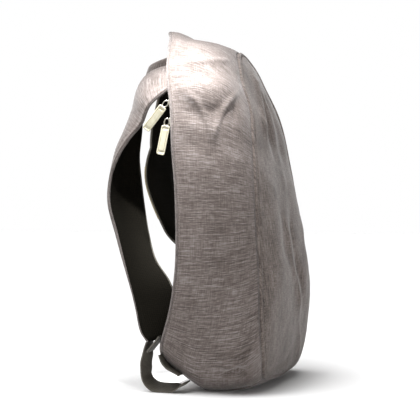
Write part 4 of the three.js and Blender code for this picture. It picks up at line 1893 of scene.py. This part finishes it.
@dataclass
class SlackWebbing(SubAssembly):
    """The loop of webbing from a strap's lower end to the base."""

    name: str
    flank: Flank
    width: float = 25.0
    thick: float = 1.6
    across: float = 0.430
    start_up: float = 62.4
    route: Sequence[tuple[float, float]] = (
        (0.370, 0.1335),
        (0.455, 0.085),
        (0.450, 0.047),
        (0.400, 0.022),
        (0.310, 0.0045),
        (0.200, 0.002),
        (0.080, 0.0045),
        (-0.050, 0.0285),
    )
    folded_end: Sequence[tuple[float, float]] = ((43.0, 50.0), (38.5, 56.0), (33.0, 62.0), (27.0, 70.0))
    tab: Sequence[tuple[float, float]] = (
        (27.0, 47.0),
        (23.5, 38.0),
        (17.5, 31.0),
        (9.0, 26.5),
        (1.0, 22.0),
    )
    columns: int = 9
    floor_gap: float = 0.1
    lowest: float = 0.9
    back_lean: float = 8.0  # how far the slack loop's inner edge leans out over the wearer's side
    outer_lean: float = 5.0  # how much less its outer edge does
    inner_lift: float = 8.0  # how far its inner edge rises where it lies on the floor

    def ribbon(self, name: str, points: Array, is_slack: bool = False) -> bpy.types.Object:
        """A flat band along a line, its width lying along X.

        Args:
            name: the piece's name.
            points: pairs of Y and Z.
            is_slack: whether it rests on the floor and leans over, as the slack loop does.

        Returns:
            The piece.
        """
        keys = run_of(points)
        dense = np.linspace(0, keys[-1], max(24, int(keys[-1])))
        y = smooth_curve(list(zip(keys, points[:, 0])))(dense)
        z = smooth_curve(list(zip(keys, points[:, 1])))(dense)
        if is_slack:
            z = np.maximum(z, self.thick / 2 + self.floor_gap)
        tangent = unit(np.stack([np.gradient(y), np.gradient(z)], axis=-1))
        normal = np.stack([-tangent[:, 1], tangent[:, 0]], axis=-1)
        reach = np.linspace(-1, 1, self.columns) * self.width / 2
        outer = (self.flank.value * reach[None, :] / (self.width / 2) + 1) / 2
        share = dense / dense[-1]
        upright = between(share, 0.0, 0.2, 0.55, 0.25)[:, None] * is_slack
        lying = between(share, 0.3, 0.2, 0.95, 0.15)[:, None] * is_slack
        lean = upright * (self.outer_lean * outer - self.back_lean)
        lift = self.inner_lift * lying * (1 - outer)
        middle = self.flank.value * self.shape.width * self.across
        lines = []
        for sign in (1, -1):
            rise = sign * self.thick / 2
            layer = np.empty((len(dense), self.columns, 3))
            layer[..., 0] = middle + reach[None, :]
            layer[..., 1] = (y + normal[:, 0] * rise)[:, None] + lean
            layer[..., 2] = (z + normal[:, 1] * rise)[:, None] + lift
            lines.append(layer if sign > 0 else layer[:, ::-1])
        ring = np.concatenate(lines, axis=1)
        count = ring.shape[1]
        cloth = np.stack([ring[..., 0], np.repeat(dense[:, None], count, 1)], axis=-1)
        return make_mesh(
            name,
            ring.reshape(-1, 3),
            ring_faces(len(dense), count),
            self.finishes.webbing,
            cloth.reshape(-1, 2),
            is_smooth=False,
        )

    def build(self) -> None:
        """Make the loop, its end that folds up to the hem and the tab under the heel."""
        depth, height = self.shape.depth, self.shape.height
        points = np.array([[depth * y, max(self.lowest, height * z)] for y, z in self.route])
        points[0, 1] = self.start_up
        loop = self.ribbon(f"{self.name}_webbing_loop", points, is_slack=True)
        self.hand_over(loop, "webbing", [f"{self.name}_webbing"])
        self.hand_over(self.ribbon(f"{self.name}_webbing_end", np.array(self.folded_end)), "webbing")
        self.hand_over(self.ribbon(f"{self.name}_heel_tab", np.array(self.tab)), "webbing")


@dataclass
class GrabHandle(SubAssembly):
    """The padded loop at the top of the back."""

    width: float = 20.0
    thick: float = 4.0
    half: float = 33.0
    seat: float = 2.2
    root_up: float = 0.893
    crest_back: float = 0.83
    crest_up: float = 0.865
    lean: float = 0.36
    arch_power: float = 2.4
    flat_share: float = 0.25  # the share of its thickness that is left at its edges
    lines: int = 90
    columns: int = 17

    def build(self) -> None:
        """Make the handle."""
        across = np.linspace(-1, 1, self.lines)
        bow = superellipse_leg(np.abs(across), self.arch_power)
        edge = np.linspace(0, 1, self.columns)
        swell = np.sqrt(np.maximum(0, 1 - (2 * edge - 1) ** 4))
        rings = []
        for sign in (1, -1):
            sink = self.thick / 2 * (1 - sign * (self.flat_share + (1 - self.flat_share) * swell))
            along = self.half * across[:, None] * (1 - sink[None, :] / self.half)
            root_z = self.shape.height * self.root_up + edge * self.width
            root_y = self.shape.back_at(root_z) + self.seat
            crest_y = self.shape.depth * self.crest_back - edge * self.width * self.lean
            crest_z = self.shape.height * self.crest_up + edge * self.width * math.sqrt(1 - self.lean**2)
            layer = np.empty((self.lines, self.columns, 3))
            layer[..., 0] = along
            layer[..., 1] = root_y + (crest_y - sink - root_y) * bow[:, None]
            layer[..., 2] = root_z + (crest_z - root_z) * bow[:, None]
            rings.append(layer if sign > 0 else layer[:, ::-1])
        ring = np.concatenate(rings, axis=1)
        count = ring.shape[1]
        run = run_of(ring)[:, 4]
        over = np.concatenate([edge, edge[::-1]]) * self.width
        cloth = np.stack([np.tile(over, (self.lines, 1)), np.repeat(run[:, None], count, 1)], axis=-1)
        handle = make_mesh(
            "grab_handle_loop",
            ring.reshape(-1, 3),
            ring_faces(self.lines, count),
            self.finishes.marl,
            cloth.reshape(-1, 2),
        )
        self.hand_over(handle, "marl", ["grab_handle"])


@dataclass(frozen=True)
class Lamp:
    """A studio light, with its place and aim in metres, its size in metres and its power in watts."""

    name: str
    place: tuple[float, float, float]
    aim: tuple[float, float, float]
    size: float
    power: float
    cone: float = 0.0  # a spot's opening, in degrees; a soft square light has none

    def hang(self) -> None:
        """Add the light to the scene."""
        data = bpy.data.lights.new(self.name, "SPOT" if self.cone else "AREA")
        data.energy = self.power
        if self.cone:
            data.spot_size = math.radians(self.cone)
            data.spot_blend = 1.0
            data.shadow_soft_size = self.size
        else:
            data.shape = "SQUARE"
            data.size = self.size
        lamp = bpy.data.objects.new(self.name, data)
        lamp.location = self.place
        lamp.rotation_euler = (Vector(self.aim) - Vector(self.place)).to_track_quat("-Z", "Y").to_euler()
        lamp.visible_camera = False
        bpy.context.scene.collection.objects.link(lamp)


@dataclass
class Stage:
    """Floor, light and the photograph's camera."""

    view: PhotoView = PHOTO
    sensor: float = 36.0
    floor_side: float = 18.0
    sun_power: float = 3.4
    sun_spread: float = 70.0
    sun_way: tuple[float, float, float] = (0.05, -0.28, -0.96)
    ambient: float = 0.10
    glow_starts: float = 0.185
    glow_ends: float = 0.22
    lamps: Sequence[Lamp] = (
        Lamp("top_key", (-0.14, 0.03, 0.86), (-0.10, -0.02, 0.42), size=0.22, power=3.3),
        Lamp("low_fill", (-0.55, -0.60, 0.10), (-0.08, -0.06, 0.09), size=0.30, power=0.45),
        Lamp("shoulder_spot", (-0.38, -0.03, 1.15), (-0.118, 0.0, 0.398), 0.04, power=190.0, cone=12.0),
    )

    def camera(self) -> None:
        """Set the photograph's camera."""
        data = bpy.data.cameras.new("camera")
        data.sensor_width = self.sensor
        data.lens = self.sensor * self.view.focal_px / self.view.side_px
        data.shift_y = -(self.view.centre_px - self.view.horizon_px) / self.view.side_px
        data.clip_start = 0.05
        data.clip_end = 60.0
        camera = bpy.data.objects.new("camera", data)
        camera.location = Vector(self.view.place + np.array([0, SHIFT_Y, 0])) * MM
        camera.rotation_euler = Vector(self.view.look).to_track_quat("-Z", "Y").to_euler()
        bpy.context.scene.collection.objects.link(camera)
        bpy.context.scene.camera = camera

    def floor(self) -> None:
        """Lay the plain pale floor."""
        surface = {"Base Color": linear("f6f6f6"), "Roughness": 0.9}
        material = end_material(begin_material("pale_paper"), surface)
        half = self.floor_side / 2
        mesh = bpy.data.meshes.new("floor")
        corners = [(-half, -half, 0), (half, -half, 0), (half, half, 0), (-half, half, 0)]
        mesh.from_pydata(corners, [], [(0, 1, 2, 3)])
        mesh.materials.append(material)
        floor = bpy.data.objects.new("floor", mesh)
        bpy.context.scene.collection.objects.link(floor)

    def world(self) -> None:
        """Light the scene dimly, but for a white glow near the horizon, which the camera sees."""
        world = bpy.data.worlds.new("studio")
        world.use_nodes = True
        tree = world.node_tree
        background = tree.nodes["Background"]
        background.inputs["Color"].default_value = linear("ffffff")
        way = add_node(tree, "ShaderNodeTexCoord").outputs["Generated"]
        apart = add_node(tree, "ShaderNodeSeparateXYZ", {0: way})
        slope = add_node(tree, "ShaderNodeMath", {0: apart.outputs[2]}, operation="ABSOLUTE")
        glow = add_node(
            tree,
            "ShaderNodeMapRange",
            {0: slope.outputs[0], 1: self.glow_starts, 2: self.glow_ends, 3: 1.0, 4: self.ambient},
        )
        tree.links.new(glow.outputs[0], background.inputs["Strength"])
        bpy.context.scene.world = world

    def sun(self) -> None:
        """Hang the broad soft light high behind the bag."""
        data = bpy.data.lights.new("high_key", "SUN")
        data.energy = self.sun_power
        data.angle = math.radians(self.sun_spread)
        sun = bpy.data.objects.new("high_key", data)
        sun.rotation_euler = Vector(self.sun_way).to_track_quat("-Z", "Y").to_euler()
        bpy.context.scene.collection.objects.link(sun)

    def build(self) -> None:
        """Make the floor, the lights and the camera."""
        self.floor()
        self.world()
        self.sun()
        for lamp in self.lamps:
            lamp.hang()
        bpy.context.scene.view_settings.view_transform = "Standard"
        self.camera()


FOLDS = (
    # each fold: its flank, its points in pixels, its lift, its spread and whether it is crisp
    # the shoulder's turnover, the shade line under it and the V-shaped crease, on the left flank
    Fold(Flank.LEFT, ((182, 63), (195, 62), (208, 61), (222, 61), (235, 61)), 1.6, 4, True),
    Fold(Flank.LEFT, ((172, 84), (190, 88), (206, 91), (222, 88), (242, 82)), 2.6, 11),
    Fold(
        Flank.LEFT,
        ((172, 108), (186, 111), (198, 115), (208, 119), (218, 118), (228, 111), (246, 106)),
        -2.2,
        9,
    ),
    Fold(Flank.LEFT, ((172, 136), (194, 142), (210, 148), (228, 142), (246, 136)), -1.4, 15),
    Fold(
        Flank.LEFT,
        ((184, 92), (196, 101), (203, 112), (208, 122), (211, 132), (213, 148)),
        2.3,
        3.6,
        True,
    ),
    Fold(
        Flank.LEFT,
        ((240, 88), (231, 100), (224, 110), (219, 121), (215, 132), (213, 148)),
        2.3,
        3.6,
        True,
    ),
    Fold(Flank.LEFT, ((200, 105), (208, 110), (214, 110), (222, 104)), -1.4, 4),
    Fold(Flank.LEFT, ((236, 102), (235, 112), (233, 124), (232, 136)), -0.9, 3.4, True),
    Fold(Flank.LEFT, ((190, 74), (193, 73), (197, 71)), -1.0, 3),
    # the front panel's long creases, at its left edge
    Fold(Flank.LEFT, ((252, 72), (257, 86), (261, 104), (264, 124), (268, 146)), 2.6, 3.0, True),
    Fold(Flank.LEFT, ((258, 78), (263, 96), (267, 114), (271, 134), (275, 160)), -3.0, 3.0, True),
    Fold(Flank.LEFT, ((272, 120), (279, 142), (284, 168), (287, 196)), 1.6, 3.6),
    Fold(
        Flank.BOTH,
        ((286, 212), (289, 236), (292, 262), (296, 281), (298, 301), (299, 327)),
        1.5,
        2.0,
        True,
    ),
    Fold(Flank.BOTH, ((298, 318), (299, 340), (298, 354), (295, 364), (287, 372)), 1.3, 2.0, True),
    Fold(Flank.BOTH, ((290, 210), (294, 234), (298, 260), (302, 288), (303, 312)), -3.2, 2.6, True),
    Fold(Flank.LEFT, ((281, 200), (284, 222), (286, 244), (289, 268)), -1.6, 3.0),
    Fold(Flank.LEFT, ((258, 178), (266, 208), (270, 240), (271, 270)), -0.9, 6),
    # wrinkles over the base
    Fold(Flank.LEFT, ((216, 372), (226, 375), (236, 370), (244, 372), (251, 379)), -4.0, 2.6, True),
    Fold(Flank.LEFT, ((220, 366), (230, 367), (240, 362), (249, 366)), 3.4, 2.8, True),
    Fold(Flank.LEFT, ((228, 360), (238, 356), (247, 352), (252, 344)), -2.6, 2.8, True),
    Fold(Flank.LEFT, ((264, 372), (276, 368), (288, 360), (296, 346)), -1.1, 3.0),
    Fold(Flank.LEFT, ((180, 350), (196, 360), (214, 364)), 1.0, 5),
    # the right flank's own, softer
    Fold(Flank.RIGHT, ((180, 96), (198, 108), (214, 112), (234, 100)), -2.2, 6),
    Fold(Flank.RIGHT, ((196, 92), (202, 108), (206, 126)), 1.8, 3.4, True),
    Fold(Flank.RIGHT, ((226, 96), (219, 112), (214, 132)), 1.8, 3.4, True),
    Fold(Flank.RIGHT, ((256, 84), (264, 108), (272, 140), (278, 170)), -2.2, 3.6, True),
    Fold(Flank.RIGHT, ((270, 210), (282, 240), (290, 280), (294, 316)), 2.2, 5),
    Fold(Flank.RIGHT, ((214, 368), (232, 374), (250, 372)), -1.4, 3.0, True),
)


def main() -> None:
    """Build the bag around its frame and report each piece."""
    logging.basicConfig(level=logging.INFO, format="%(name)s: %(message)s")
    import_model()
    Stage().build()
    shape, finishes = BagShape(), Finishes()
    parts: list[SubAssembly] = [Body(shape, finishes, folds=FOLDS)]
    for name, flank in (("left", Flank.LEFT), ("right", Flank.RIGHT)):
        parts.append(ShoulderStrap(shape, finishes, name, flank))
        parts.append(SlackWebbing(shape, finishes, name, flank))
    parts += [GrabHandle(shape, finishes), Zip(shape, finishes)]
    for part in parts:
        part.build()
        for piece in part.made:
            LOG.info("%s: %s, %d faces", type(part).__name__, piece.name, len(piece.data.polygons))


if __name__ == "__main__":
    main()
